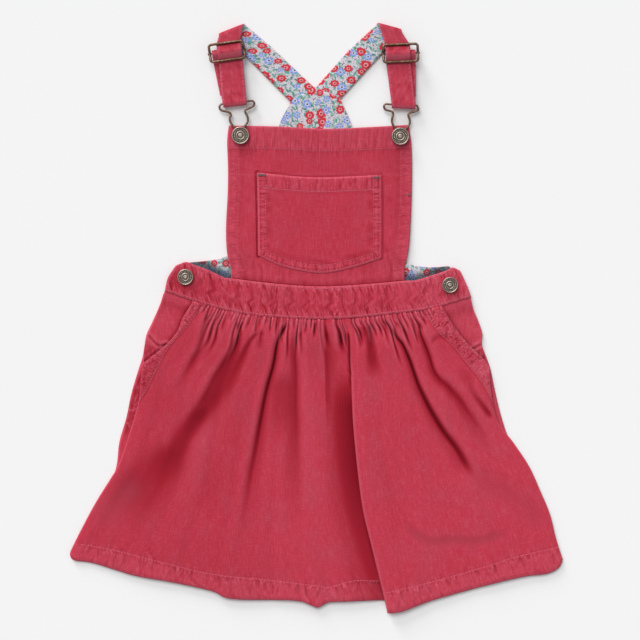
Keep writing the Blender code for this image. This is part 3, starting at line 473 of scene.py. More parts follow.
class Line:
    """A smooth line through a few points."""

    STEPS = np.linspace(0, 1, 6, endpoint=False)[:, None]

    def __init__(self, *points):
        knots = np.array(points, float)
        ends = [2 * knots[0] - knots[1], *knots, 2 * knots[-1] - knots[-2]]
        runs = [blend(*four, self.STEPS) for four in zip(ends, ends[1:], ends[2:],
                                                         ends[3:])]
        self.spots = np.vstack(runs + [knots[-1:]])
        steps = np.linalg.norm(np.diff(self.spots, axis=0), axis=1)
        self.walk = np.concatenate([[0], np.cumsum(steps)])
        self.length = self.walk[-1]

    def at(self, share):
        """Points at shares of the length."""
        walked = np.clip(share, 0, 1) * self.length
        return np.stack([np.interp(walked, self.walk, axis) for axis in self.spots.T],
                        axis=-1)

    def y_at(self, x):
        """Height at x, on a line that runs from left to right."""
        return np.interp(x, self.spots[:, 0], self.spots[:, 1])

    def measure(self, spots):
        """Distance from the line, walk along it to the nearest point, and the side."""
        spots = spots[:, :2]
        nearest = np.full(len(spots), 1e9)
        walked, side = np.zeros(len(spots)), np.zeros(len(spots))
        for start, end, walk in zip(self.spots, self.spots[1:], self.walk):
            way = end - start
            share = np.clip((spots - start) @ way / (way @ way), 0, 1)
            off = spots - start - share[:, None] * way
            distance = np.hypot(off[:, 0], off[:, 1])
            closer = distance < nearest
            nearest = np.where(closer, distance, nearest)
            walked = np.where(closer, walk + share * np.hypot(*way), walked)
            side = np.where(closer, np.sign(way[0] * off[:, 1] - way[1] * off[:, 0]),
                            side)
        return nearest, walked, side


def patch(top, bottom, left, right, u, v):
    """A point inside four edges that meet at their ends."""
    u, v = u[:, None], v[:, None]
    across = between(top(u[:, 0]), bottom(u[:, 0]), v)
    down = between(left(v[:, 0]), right(v[:, 0]), u)
    ends = np.array([0.0, 1.0])
    (a, b), (c, d) = top(ends), bottom(ends)
    return across + down - between(between(a, b, u), between(c, d, u), v)


OVERTONES = (1.0, 0.61, 1.47, 2.3)  # lengths of the waves that make up a ripple


def uneven(walk, length, seed):
    """A ripple with crests about a length apart, of uneven size and place."""
    draw = np.random.default_rng(seed)
    total = np.zeros_like(walk)
    for share in OVERTONES:
        total += (draw.uniform(0.5, 1)
                  * np.sin(2 * math.pi * walk / (length * share) + draw.uniform(0, 6)))
    return total / 2


print("a ripple, every 2 mm:", np.round(uneven(np.arange(0, 12, 2.0), 6, 3), 2))

# %% Helper: sheets
DIP_REACHES = (3, 9)  # grid steps over which a dip is measured
Lie = namedtuple("Lie", "spots flat worn deep drawn seam", defaults=(0.0, 0.0, None))


def softened(heights, reach):
    """The mean height over a square of grid points around each point."""
    for axis in (0, 1):
        padded = np.pad(heights, [(reach, reach) if a == axis else (0, 0)
                                  for a in (0, 1)], mode="edge")
        total = np.cumsum(padded, axis=axis)
        total = np.insert(total, 0, 0, axis=axis)
        window = 2 * reach + 1
        count = heights.shape[axis]
        heights = (np.take(total, range(window, window + count), axis)
                   - np.take(total, range(count), axis)) / window
    return heights


def mesh_of(name, shape):
    """A smooth mesh of a bmesh, which is used up."""
    mesh = bpy.data.meshes.new(name)
    shape.to_mesh(mesh)
    shape.free()
    mesh.shade_smooth()
    return mesh


def sheet(name, columns, rows, place, wall, material, dip_shade=0.5):
    """A grid bent to its place, with a wall, a flat map, its painted shade and its wear."""
    grid = bmesh.new()
    bmesh.ops.create_grid(grid, x_segments=columns, y_segments=rows, size=0.5)
    mesh = mesh_of(name, grid)
    count = len(mesh.vertices)
    start = np.empty(count * 3)
    mesh.vertices.foreach_get("co", start)
    u, v = start[0::3] + 0.5, 0.5 - start[1::3]
    lie = place(u, v)
    mesh.vertices.foreach_set("co", (lie.spots * MM).ravel())
    corners = np.empty(len(mesh.loops), int)
    mesh.loops.foreach_get("vertex_index", corners)
    for title, spread in (("cloth", lie.flat), ("seam", lie.seam)):
        spread = lie.flat if spread is None else spread
        mesh.uv_layers.new(name=title).data.foreach_set(
            "uv", (spread[corners] * MM).ravel())
    column = np.rint(u * columns).astype(int)
    row = np.rint(v * rows).astype(int)
    heights = np.zeros((rows + 1, columns + 1))
    heights[row, column] = lie.spots[:, 2]
    # Painted shade: the hollow value rises where a point lies below the mean height around
    # it, and with the shade and darker dye that its Lie gives.
    dip = sum(softened(heights, reach) for reach in DIP_REACHES) / 2 - heights
    depth = 0.4 + dip_shade * dip[row, column] + 0.4 * lie.deep
    for title, values in (("hollow", depth), ("worn", lie.worn), ("drawn", lie.drawn)):
        layer = mesh.attributes.new(title, "FLOAT", "POINT")
        layer.data.foreach_set("value", np.clip(values + np.zeros(count), 0, 1))
    return dressed(name, mesh, wall, material)


def dressed(name, mesh, wall, material):
    """An object of a mesh, with a cloth wall where it has one, riding on the dress."""
    piece = placed(name, mesh)
    mesh.materials.append(material)
    if wall:
        thicken = piece.modifiers.new("Wall", "SOLIDIFY")
        thicken.thickness = wall * MM
        thicken.offset = 0
    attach(piece, "root")
    return piece


def declare(piece, node):
    """Hide the plain solid that a cloth piece stands in for, and print its point count."""
    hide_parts(node)
    print(piece.name, len(piece.data.vertices), "points")
    return piece


# %% [markdown]
# ## The waist seam and the waistband
#
# Everything hangs from the waist seam, so its line comes first. The waistband is two
# layers of cord turned in and stitched along both edges. Each stitched edge draws the
# cloth up into short puckers, 5 or 6 mm apart, which meet in the middle of the band.

# %% Waistband
SEAM = Line(
    (-151.5, 26), (-119.5, 15), (-84.5, 5.5), (-50.5, 0.3), (3.5, -2.2), (41.5, -0.5),
    (78.5, 3.5), (114.5, 8.5), (154.5, 20))
BAND_TOP = Line(
    (-140.5, 51), (-135.5, 53.2), (-129.5, 54.8), (-121, 51.5), (-108.5, 47), (-92.5, 39.4),
    (-85.5, 38.4), (-40, 33), (3.5, 30.3), (48, 32.5), (88, 36), (99.5, 36.6),
    (118.5, 42.4), (130.5, 46.5), (136, 49.4), (143.5, 46))
BAND_LEFT = Line((-140.5, 51), (-148.5, 39), (-151.5, 26))
BAND_RIGHT = Line((143.5, 46), (149.5, 33), (154.5, 20))
BAND_MIDDLE = 3.9  # height of the middle of its wall
BAND_WALL = 1.4
BAND_LENGTH = 300
STITCH_IN = 1.9  # from an edge to its row of stitches


def rolled(distance, reach, depth):
    """How far an edge rolls down, from nothing at reach to depth at the edge."""
    return depth * (1 - ease(0, reach, distance)) ** 2


def puckers(along, away, spacing, seed):
    """The short creases that a row of stitches draws up beside it."""
    return uneven(along, spacing, seed) * bell(away - 3, 7)


def waistband(u, v):
    spots = patch(BAND_TOP.at, SEAM.at, BAND_LEFT.at, BAND_RIGHT.at, u, v)
    height = np.linalg.norm(BAND_TOP.at(u) - SEAM.at(u), axis=1)
    above, below = (1 - v) * height, v * height  # distances from seam and top edge
    walk = spots[:, 0]
    sides = np.minimum(u, 1 - u) * BAND_LENGTH
    rows = (bell(above - STITCH_IN, 1.0) + bell(below - STITCH_IN, 1.0)
            + 0.6 * bell(sides - STITCH_IN, 1.2))
    lower = puckers(walk + 0.45 * above, above, 5.0, 3)
    upper = puckers(walk - 0.40 * below, below, 6.0, 7)
    middle = uneven(walk + 3 * uneven(above, 15, 11), 13, 15) * ease(0, 8, above)
    lift = (0.26 * lower + 0.22 * upper + 0.14 * middle) * (1 - 0.8 * rows) - 0.2 * rows
    edge = np.minimum(np.minimum(above, below), sides)
    lift -= rolled(edge, 1.4, 0.45)
    z = BAND_MIDDLE + lift + 0.1
    # Paler on edges, rows and crests, and all over towards the right end.
    worn = np.maximum(0.9 * bell(edge, 0.85), 0.40 * rows)
    worn += 0.16 * ease(40, 130, walk)
    worn += 0.36 * ease(0.3, 0.8, lower) + 0.30 * ease(0.3, 0.8, upper)
    drawn = 0.50 + 0.25 * uneven(walk, 37, 16) + 0.40 * bell(above - 3, 5)
    drawn += 0.30 * bell(below - 3, 5) - 0.5 * rows
    sway = 0.9 * uneven(above + 0.5 * walk, 23, 12) + 1.2 * uneven(walk, 29, 13)
    # Painted shade between the puckers and in the troughs of the middle ripples; a
    # darker strip 9 mm above the seam; a little darker at the left end, lighter at the
    # right.
    deep = 0.08 + 0.14 * ease(0, -0.8, middle) + 0.10 * bell(above - 9, 5)
    deep += 0.42 * ease(-0.25, -0.8, lower) + 0.36 * ease(-0.25, -0.8, upper)
    deep += 0.08 * ease(-60, -140, walk) - 0.06 * ease(60, 130, walk)
    return Lie(stacked(spots, z), stacked(walk, above), worn, deep,
               drawn, stacked(walk + sway, 0.9 * above))


waistband_front = declare(
    sheet("waistband", 360, 30, waistband, BAND_WALL, NEEDLECORD),
    "waistband_front")

# %% [markdown]
# ## The skirt front
#
# This is the piece that makes the dress. Its upper edge is gathered into the seam, so
# some forty little tucks start there. Most run out within a centimetre or two, and a
# few go on as folds. Between the two halves one big pleat laps over itself: the cloth
# dips into a recess, runs back under the right-hand half, and turns over twice.

# %% Skirt front: its edges
SIDE_LEFT = Line(
    (-123.5, 15.5, 3.9), (-133.5, -1, 3.8), (-139, -14.5, 3.7), (-150.5, -28, 3.6),
    (-169.5, -43.5, 3.55), (-174, -50, 3.5), (-177.5, -83, 2.6), (-187.5, -118, 2.3),
    (-198, -148, 2.2), (-205.5, -161, 2.2), (-220.5, -185, 2.2), (-233.5, -209, 2.2),
    (-245.5, -233, 2.2), (-246.5, -239, 2.2))
SIDE_RIGHT = Line(
    (125, 10.6, 3.9), (139, -12, 3.8), (153.5, -29, 3.6), (171.5, -48, 3.55),
    (173.8, -69, 3.5), (181, -104, 2.5), (196.5, -125, 2.2), (212.5, -149, 2.2),
    (223.5, -173, 2.2), (233.5, -197, 2.2), (239.5, -221, 2.2), (246.5, -243, 2.2))
HEM_LEFT = Line(
    (-246.5, -239), (-242.5, -243.5), (-222.5, -246.6), (-182.5, -258.6), (-146.5, -265),
    (-105, -274), (-84.5, -282), (-22.5, -283.6), (-6.5, -288), (1.5, -290.5),
    (12.5, -285.5), (32, -284.5), (55, -283.6))
HEM_RIGHT = Line(
    (76.5, -295.4), (88.5, -293), (114, -283.6), (148.5, -274), (177.5, -266.4),
    (208.5, -259.5), (231, -256.8), (242.5, -251), (246.5, -243))
PLEAT_EDGE = Line(
    (28, -2.4), (29, -8), (33.2, -18), (34.5, -42), (35.2, -60), (36.0, -83), (37.4, -110),
    (41.4, -152), (47, -193), (55.5, -229), (67, -276), (71.5, -296))
PLEAT_RECESS = Line(
    (5, -3.0), (5.5, -18), (8.5, -42), (9.8, -83), (13, -123), (20, -165), (27, -200),
    (37, -236), (55, -283.6))
WAIST_GAP = 0.5  # from the waistband's edge down to the skirt's
PLEAT_LAP = 9  # how far the pleat runs back under its edge
PLEAT_STEP = 8  # width of the slope that it is near the waist
PLEAT_LOW, PLEAT_HIGH = 2.2, 5.7  # heights in the recess and on the lapped edge
RECESS_HIGH = 3.1 + 0.35  # height where the recess begins, with its rounded lip
PLEAT_BACK = 5  # from the lapped edge to where plain cloth starts
PLEAT_TURN = 0.87  # radius of each turn
PLEAT_RETURN = 1.2  # from the lapped edge to where it comes back
PLEAT_KNOTS = 10
LOWEST_FRONT = 2.2  # the front rests on the back at this height
print("side seams of", round(SIDE_LEFT.length), "and", round(SIDE_RIGHT.length), "mm")

# %% [markdown]
# ### Folds and marks
#
# Each fold is a line with a sharp side and a soft one: the cloth drops steeply on one
# and swings out on the other, and shade is painted along it. Shallow creases where the
# skirt lay sink a little and get painted shade and a paler, dusty tone, and the hem
# lies in waves.

# %% Skirt front: folds
# A fold's depth, how dark the painted shade on its soft side and along its sharp line
# is, its soft side (1 right, -1 left, 0 both), that side's width at start and end, the
# lengths over which the fold runs in and out, its line, how early the sharp line's
# shade fades, how broad the steep side is.
Fold = namedtuple("Fold", "depth dark core soft wide wider start end line fade edge",
                  defaults=(0.8, 1.0))
FOLDS = (
    Fold(1.3, 0.35, 0.75, 1, 3, 8, 8, 50, Line(
        (-103, 5), (-109.5, -5), (-113, -15), (-114.5, -23), (-117.5, -33), (-123.5, -44),
        (-129.5, -55), (-136.5, -68), (-144.5, -83))),
    Fold(0.9, 0.26, 0.40, 1, 3, 7, 8, 26, Line(
        (-92, 5), (-97, -5), (-104, -16), (-106, -24), (-111, -36), (-117, -50))),
    Fold(1.3, 0.75, 0.88, 1, 1, 31, 8, 52, Line(
        (-80.5, -2), (-77.7, -15.5), (-80.2, -24.2), (-85.2, -34.2), (-91, -43),
        (-96.5, -52), (-102.5, -62), (-108, -73), (-113.5, -83), (-120, -94), (-128, -106),
        (-136, -118))),
    Fold(0.8, 0.50, 0.80, 0, 2, 12, 6, 36, Line(
        (-57, -15), (-63, -20), (-68.5, -28), (-76, -43), (-86, -63), (-96, -80),
        (-107, -97))),
    Fold(0.9, 0.68, 0.60, -1, 9, 20, 40, 55, Line(
        (-95, -70), (-101, -80), (-109, -92), (-118, -103), (-124.5, -112), (-130.5, -121),
        (-136.5, -133), (-144, -148), (-154, -165), (-168, -182)), 0.8, 3.0),
    Fold(0.6, 0.42, 0.0, 0, 18, 38, 30, 50, Line(
        (-134, -120), (-147, -142), (-166, -164), (-192, -188), (-212, -206))),
    Fold(2.2, 0.36, 1.45, 1, 3, 18, 9, 150, Line(
        (-27.7, -5), (-30.5, -9), (-34.6, -15.5), (-37.7, -21.7), (-40.2, -30.5),
        (-42.2, -43), (-44.5, -53), (-48.5, -67), (-52, -82), (-55, -98), (-57.2, -110),
        (-61, -133), (-66.5, -163), (-70, -193), (-73, -223), (-75, -250)), 1.1),
    Fold(0.5, 0.44, 0.0, 0, 12, 24, 26, 46, Line(
        (-34, -46), (-33.5, -65), (-32.5, -85), (-30, -110), (-27, -138))),
    Fold(1.3, 0.40, 0.80, -1, 5, 16, 14, 110, Line(
        (-18.5, -12), (-19.5, -18), (-21.5, -28), (-21.7, -37), (-21.2, -47), (-20.7, -56),
        (-20.7, -70), (-21, -90), (-20.5, -103), (-20.5, -133), (-20.5, -163),
        (-20.5, -193), (-22, -223)), 1.4, 2.0),
    Fold(0.9, 0.20, 0.60, 1, 2, 4, 5, 14, Line(
        (-54, -12), (-55, -18), (-56.5, -30), (-57, -38))),
    Fold(0.8, 0.20, 0.50, -1, 2, 5, 6, 16, Line(
        (11.5, -8), (12, -16), (16, -30), (18, -40))),
    Fold(1.3, 0.72, 0.30, 0, 4, 9, 6, 34, Line(
        (51.5, -6), (53, -14), (54, -26), (55.5, -40), (58, -54), (63, -72))),
    Fold(0.8, 0.10, 1.15, 0, 1.5, 2, 4, 12, Line(
        (53, -6), (54.5, -14), (55.3, -26), (55.5, -38))),
    Fold(1.0, 0.25, 0.70, -1, 2, 6, 6, 20, Line(
        (45, -6), (48.5, -14), (49.5, -24), (50, -36))),
    Fold(2.2, 0.42, 1.35, -1, 3, 14, 8, 26, Line(
        (66, -2), (71, -8), (78.5, -18), (86.5, -28), (93.2, -43), (97, -54), (102, -68),
        (109, -83), (117, -98), (127, -114), (141, -133), (152, -152), (159, -164)), 0.25),
    Fold(0.9, 0.20, 0.60, -1, 2, 5, 5, 20, Line(
        (80, -4), (85, -12), (90, -20), (96, -31))),
    Fold(1.4, 0.50, 1.15, -1, 3, 14, 7, 75, Line(
        (103, -4), (103.5, -12), (104.5, -18), (108.5, -28), (113, -40), (117, -53),
        (123, -62), (130, -68), (136.5, -75), (143.5, -83), (153.5, -98), (163, -113),
        (173, -133), (180, -150)), 0.8, 1.5),
    Fold(1.2, 0.62, 0.85, 1, 5, 4, 10, 26, Line(
        (178, -103), (170, -93), (162, -83), (154, -73), (147, -65))),
    Fold(0.5, 0.10, 0.35, -1, 2, 3, 5, 8, Line(
        (114.5, -28), (117.5, -23), (121, -20.5), (128.5, -21), (135.5, -26))),
    Fold(0.5, 0.08, 0.0, 0, 9, 12, 60, 40, Line((-96, -120), (-103, -170), (-110, -215))),
    Fold(0.5, 0.06, 0.0, 0, 8, 12, 60, 50, Line((62, -120), (78, -180), (92, -250))),
)
print(len(FOLDS), "folds")

# %% Skirt front: shaded creases, hem and pocket stitches
# A shaded crease's depth, how dark its painted shade is and how wide it is, its line,
# and how much paler dust lies in it for its darkness.
ShadedCrease = namedtuple("ShadedCrease", "depth dark width line dusty", defaults=(1.0,))
SHADED_CREASES = (
    ShadedCrease(0.4, 0.38, 4.5, Line(
        (84, -204), (103.5, -220), (115.5, -225), (138.5, -223), (163.5, -224),
        (196, -213))),
    ShadedCrease(0.4, 0.20, 12, Line((140, -150), (172, -166), (198, -180), (216, -198),
                              (222, -222))),
    ShadedCrease(0.3, 0.26, 16, Line((-168, -158), (-188, -174), (-206, -194), (-220, -216)), 1.2),
    ShadedCrease(0.2, 0.34, 6, Line((143, -44), (147, -56), (152, -66), (160, -80)), 0.0),
    ShadedCrease(0.3, 0.14, 6, Line((-38, -243), (-22, -251), (-8, -247))),
)
HEM_CREASES = (
    Line((-170.5, -230), (-165.5, -237), (-162.5, -243), (-161.5, -250)),
    Line((-145.5, -250), (-147, -256), (-146.5, -262)),
    Line((-126.5, -261), (-117, -270), (-109.5, -279)),
    Line((-12, -270), (-10, -278), (-5, -286)),
    Line((176, -246), (179, -253), (178, -259)),
)
HEM_STITCHES = (
    Line((-236, -227.5), (-204.5, -233), (-160.5, -244), (-106.5, -257), (-49.5, -263),
         (0, -269), (13.5, -270), (36.5, -264), (62, -264.5)),
    Line((66, -276.5), (114, -265.5), (165.5, -251), (200.5, -240), (242.5, -230.5)),
)
# Where a wave of the hem is, how wide and high it is, and how far up the skirt it goes.
Wave = namedtuple("Wave", "x width height reach")
HEM_WAVES = (Wave(-150, 34, 0.9, 0.75), Wave(-84, 26, 1.1, 0.7), Wave(-8, 24, 1.3, 0.6),
             Wave(30, 14, 0.7, 0.4), Wave(118, 26, 0.8, 0.5), Wave(190, 26, 0.7, 0.5))
POCKET_STITCHES = (
    Line((-114.5, 11), (-126.5, -5), (-134, -14), (-145.5, -27), (-153.5, -39),
         (-169.5, -71), (-183.5, -93)),
    Line((109, 8), (119.5, -12), (136, -28), (149.5, -45), (163, -61), (175.5, -83),
         (181, -100)),
)
# The shallow creases counted here carry painted shade.
print(len(SHADED_CREASES), "wash marks,", len(HEM_WAVES), "waves in the hem")

# %% [markdown]
# ### Relief
#
# A fold's relief comes from how far a point is from its line, and on which side. The
# gathers are drawn by dice, uneven in spacing, depth and length, and the long ones lean
# towards the nearest fold. Both also give painted shade in their hollows and paler lips
# beside them, partly rubbed and partly painted highlight.

# %% Skirt front: folds and gathers
CRISP = 2.2  # reach of a fold's sharp side
GATHER_LIFT = 0.65  # how far the gathered cloth stands up at the seam
# A gather's place, depth, width, share of the skirt's length, and drift to the side.
Tuck = namedtuple("Tuck", "x depth width reach drift")


def fold_relief(spots):
    """How far the folds pull the cloth down, their painted shade, and their paler lips,
    partly rubbed and partly painted highlight.
    """
    dip, deep, rubbed = np.zeros((3, len(spots)))
    for fold in FOLDS:
        away, walk, side = fold.line.measure(spots)
        run = ease(0, fold.start, walk) * ease(0, fold.end, fold.line.length - walk)
        gone = np.minimum(walk / fold.line.length, 1)
        wide, crisp = between(fold.wide, fold.wider, gone), CRISP * (1 + 1.4 * gone)
        crisp *= fold.edge
        soft = side != -fold.soft
        slope = np.where(soft, np.exp(-(away / wide) ** 1.5), bell(away, crisp))
        # Painted shade on the soft side and along the sharp line; the sharp side's lip is
        # paler, partly rubbed and partly painted highlight.
        dark = np.where(soft, ease(1.3, 0.3, away / wide), bell(away, 0.7 * crisp))
        dark *= fold.dark * run * (1 - 0.55 * gone)
        core = fold.core * run * (1 - gone) ** fold.fade * bell(away, 1.2 + 3 * gone)
        dark = np.maximum(dark, core)
        lip = bell(away - 1.9 * crisp, 1.5 * crisp) * ~soft
        dip += fold.depth * run * (slope - 0.15 * lip)
        deep = np.maximum(deep, dark) + 0.25 * np.minimum(deep, dark)
        rubbed += 0.14 * run * bell(away - 1.6 * crisp, 0.9 * crisp) * ~soft
    return dip, deep, rubbed


def tucks_between(start, end, seed):
    """The gathers between two places: uneven spacing, depths and lengths."""
    draw = np.random.default_rng(seed)
    leads = [fold.line.spots[0, 0] for fold in FOLDS]
    made = []
    x = start
    while x < end:
        long = draw.random() < 0.38
        lead = min(leads, key=lambda place: abs(place - x))
        made.append(Tuck(x, draw.uniform(0.7, 1.5), draw.uniform(0.60, 0.95),
                         draw.uniform(0.10, 0.22) if long else draw.uniform(0.03, 0.09),
                         0.3 * (lead - x) * long + draw.uniform(-1.8, 1.8)))
        x += draw.choice((draw.uniform(2.4, 3.6), draw.uniform(4.2, 7.0)), p=(0.3, 0.7))
    return made


TUCKS = tucks_between(-110, 116, 21)
print(len(TUCKS), "gathers")


def gathered(x, v):
    """How far the gathers pull the cloth down, their painted shade, and their paler lips,
    partly rubbed and partly painted highlight.
    """
    dip, deep, lip = np.zeros((3, len(x)))
    for tuck in TUCKS:
        share = v / tuck.reach
        off = x - tuck.x - tuck.drift * ease(0, 1, share)
        width = tuck.width * (1 + 0.8 * share)
        fade = ease(1, 0.35, share)
        broad = np.where(off > 0, 2.2, 1.3) * width
        dip = np.maximum(dip, tuck.depth * fade * bell(off, broad))
        # Painted shade in each slit; the lip beside it is paler, partly rubbed and partly
        # painted highlight.
        slit = tuck.depth * fade * bell(off, width)
        slit *= between(0.5, 1.15, ease(0.005, 0.05, v))
        deep = np.maximum(deep, slit)
        lip = np.maximum(lip, fade * bell(off + 1.9 * width, 0.7 * width))
    return dip, deep, lip


# %% [markdown]
# ### The pleat
#
# Across, the pleat is a curve through ten knots: down into the recess, back under the
# lapped edge, round two turns and out on top. At the waist it is only a slope.

# %% Skirt front: the pleat
def pleat_growth(v):
    """How far the pleat has risen and lapped at a share of its length."""
    rise = ease(0, 0.13, v)
    lap = between(-PLEAT_STEP, PLEAT_LAP, ease(0.05, 0.28, v))
    return rise, lap


def pleat_knots(v):
    """The pleat's section at a share of its length: offsets from its edge, heights."""
    rise, lap = pleat_growth(v)
    low = between(BAND_MIDDLE, PLEAT_LOW, rise)
    high = between(BAND_MIDDLE, PLEAT_HIGH, rise)
    middle = (low + high) / 2
    opened = np.clip(lap / 4, 0, 1)
    turn = PLEAT_TURN * opened
    start = (PLEAT_RECESS.at(v) - PLEAT_EDGE.at(v))[:, 0]
    zero = np.zeros_like(v)
    knots = [(start, between(BAND_MIDDLE, RECESS_HIGH, rise))]
    knots += [(between(start, lap, share), low) for share in (0.35, 0.7, 1)]
    sloped = [(np.minimum(lap, 0) * across, between(low, high, up))
              for across, up in ((0.75, 0.25), (0.5, 0.5), (0.35, 0.65), (0.15, 0.85),
                                 (0, 1))]
    folded = [(lap + turn, (low + middle) / 2), (lap, middle),
              (PLEAT_RETURN + zero, middle),
              (PLEAT_RETURN - 1.5 * turn, (middle + high) / 2),
              (PLEAT_RETURN + zero, high)]
    for closed, lapped in zip(sloped, folded):
        knots.append([between(*pair, opened) for pair in zip(closed, lapped)])
    knots.append((PLEAT_BACK + zero, high))
    return np.array([stacked(*knot) for knot in knots])


def pleat(t, v):
    """Points of the pleat, t from 0 at the recess to 1 where plain cloth starts."""
    knots = pleat_knots(v)
    padded = np.concatenate([2 * knots[:1] - knots[1:2], knots,
                             2 * knots[-1:] - knots[-2:-1]])
    position = t * (PLEAT_KNOTS - 1)
    index = np.minimum(position.astype(int), PLEAT_KNOTS - 2)
    point = np.arange(len(t))
    four = [padded[index + step, point] for step in range(4)]
    section = blend(*four, (position - index)[:, None])
    edge = PLEAT_EDGE.at(v)
    y = between(PLEAT_RECESS.at(v)[:, 1], edge[:, 1], ease(3, 7, position))
    return stacked(edge[:, 0] + section[:, 0], y, section[:, 1])


def recess_shade(spots, v):
    """How dim the pleat's recess is, from its far side to the lapped edge."""
    x, y = spots[:, 0], spots[:, 1]
    ends = [np.interp(-y, -line.spots[:, 1], line.spots[:, 0])
            for line in (PLEAT_RECESS, PLEAT_EDGE)]
    into, inside = x - ends[0], ends[1] - x
    ramp = np.clip(1 - inside / between(25, 44, v), 0, 1)
    dim = 0.96 * ramp * ease(0.13, 0.32, v) * (1 - 0.40 * ease(0.45, 0.85, v))
    step = 0.80 * np.exp(-np.maximum(into, 0) / 5) * ease(-1.5, 1, into)
    step *= ease(0.05, 0.12, v) * ease(0.46, 0.25, v)
    line = 1.15 * bell(inside - 0.9, 1.7) * ease(0.035, 0.06, v)
    line *= 1 - 0.25 * ease(0.08, 0.25, v)
    return np.maximum(np.maximum(dim, step), line), inside


print("heights across the pleat, halfway down:",
      np.round(pleat_knots(np.array([0.5]))[:, 0, 1], 1))

# %% [markdown]
# ### The two halves
#
# The halves are patches between four edges. They swell a little in the middle and
# settle on the back at the hem.

# %% Skirt front: the halves
SKIRT_SWELL = 1.5
# The left half, the pleat and the right half run from 0 to 3. At their ends: places
# along the waist seam and across the flat cloth, and the flat cloth's length.
PARTS = (0, 1, 2, 3)
SEAM_STOPS = (-123.5, 5, 33, 125)
FLAT_STOPS = (0, 322, 372, 545)
FLAT_LENGTHS = (258, 281, 293, 254)


def half_skirt(side, u, v):
    """The left (-1) or right (1) half: points, and the place along the seam."""
    if side < 0:
        seam = between(SIDE_LEFT.spots[0, 0], PLEAT_RECESS.spots[0, 0], u)
        hem, heights = HEM_LEFT, (SIDE_LEFT.spots[-1, 2], RECESS_HIGH)
        outer, inner = SIDE_LEFT.at, recess_edge
    else:
        seam = between(PLEAT_EDGE.spots[0, 0] + PLEAT_BACK, SIDE_RIGHT.spots[0, 0], u)
        hem, heights = HEM_RIGHT, (PLEAT_HIGH, SIDE_RIGHT.spots[-1, 2])
        outer, inner = lapped_edge, SIDE_RIGHT.at
    ends = seam.min(), seam.max()

    def top(share):
        x = between(*ends, share)
        return stacked(x, SEAM.y_at(x) - WAIST_GAP, np.full_like(x, BAND_MIDDLE))

    def bottom(share):
        settled = LOWEST_FRONT + 0.4
        middle = ease(0, 0.25, share) * ease(0, 0.2, 1 - share)
        z = between(between(*heights, share), settled, middle)
        return stacked(hem.at(share), z)

    return patch(top, bottom, outer, inner, u, v), seam


def recess_edge(v):
    """The left half's edge, along the pleat's recess."""
    rise, _ = pleat_growth(v)
    return stacked(PLEAT_RECESS.at(v), between(BAND_MIDDLE, RECESS_HIGH, rise))


def lapped_edge(v):
    """The right half's edge, where the cloth beside the pleat lies plain."""
    rise, _ = pleat_growth(v)
    spots = PLEAT_EDGE.at(v)
    return stacked(spots[:, 0] + PLEAT_BACK, spots[:, 1],
                   between(BAND_MIDDLE, PLEAT_HIGH, rise))


def half_lie(side, u, v):
    """Points of one half with its swell, waves, folds and gathers; painted shade, and wear
    with painted highlights.
    """
    spots, seam = half_skirt(side, u, v)
    if side < 0:
        swell = SKIRT_SWELL * np.sin(math.pi * u) ** 0.5
    else:
        swell = SKIRT_SWELL * np.sin(math.pi * u ** 0.8) ** 0.6 * (1 - 0.4 * v)
    lift = swell * ease(0, 0.1, v) * (1 - 0.75 * ease(0.75, 1, v))
    away = ease(0, 0.04, u) * ease(0, 0.04, 1 - u)
    for wave in HEM_WAVES:
        across = (spots[:, 0] - wave.x * between(0.55, 1, v)) / wave.width
        lift += away * wave.height * bell(across, 1) * ease(1 - wave.reach, 1, v)
    dip, deep, rubbed = fold_relief(spots)
    lift -= away * dip
    lift += 0.22 * uneven(seam * 2 + 20 * v, 26, 12) * ease(0.1, 0.4, v) * away
    near = ease(0, 0.02, u) * ease(0, 0.02, 1 - u)
    dip, slit, lip = gathered(seam, v)
    lift += near * (GATHER_LIFT * ease(0.20, 0.04, v) - dip)
    # Beads of cloth along the seam, with painted shade between them and paler crests.
    beads = uneven(seam, 4.1, 34) * ease(0.055, 0.015, v) * near
    spots[:, 2] += lift + 0.22 * beads
    deep = np.maximum(np.maximum(away * deep, near * slit), 0.5 * ease(-0.2, -1, beads))
    return spots, deep, rubbed + 0.7 * near * lip + 0.35 * ease(0.1, 0.9, beads)


def pleat_lie(t, v):
    """Points of the pleat, with the gathers at its top; their painted shade and paler lips.
    """
    spots = pleat(t, v)
    dip, slit, lip = gathered(between(*SEAM_STOPS[1:3], t), v)
    top = ease(0.13, 0.05, v)
    spots[:, 2] += top * (GATHER_LIFT * ease(0.2, 0.04, v) - dip)
    return spots, top * slit, 0.7 * top * lip


def joined_parts(part, v):
    """Points, painted shade, and wear with painted highlights, each from the part that a
    point is in.
    """
    shares = [np.clip(part - start, 0, 1) for start in range(3)]
    made = half_lie(-1, shares[0], v), pleat_lie(shares[1], v), half_lie(1, shares[2], v)
    which = np.select([part < 1, part <= 2], [0, 1], 2)
    point = np.arange(len(part))
    return [np.stack(values)[which, point] for values in zip(*made)]


ends = joined_parts(np.array([0.0, 1.5, 3.0]), np.array([0.5, 0.5, 0.5]))[0]
print("side, pleat and side, halfway down:", np.round(ends).tolist())

# %% [markdown]
# ### Its sewing
#
# The hem is turned up and stitched, so it is thicker, with puckers above and below the
# stitches. The slanted pocket openings have a band on them, dimpled by its stitches.

# %% Skirt front: hem, wash marks and pocket bands
HEM_LOW = 0.86  # below this share of the skirt, the hem's sewing
FAR = 60.0  # from the hem's stitches, everywhere above that
Hem = namedtuple("Hem", "lift worn deep drawn low over along")
FACING_REACH = (Line((-107, 10.7), (-112, -8), (-132, -42), (-158, -62)),
                Line((108, 6.6), (116, -14), (136, -42), (160, -66)))


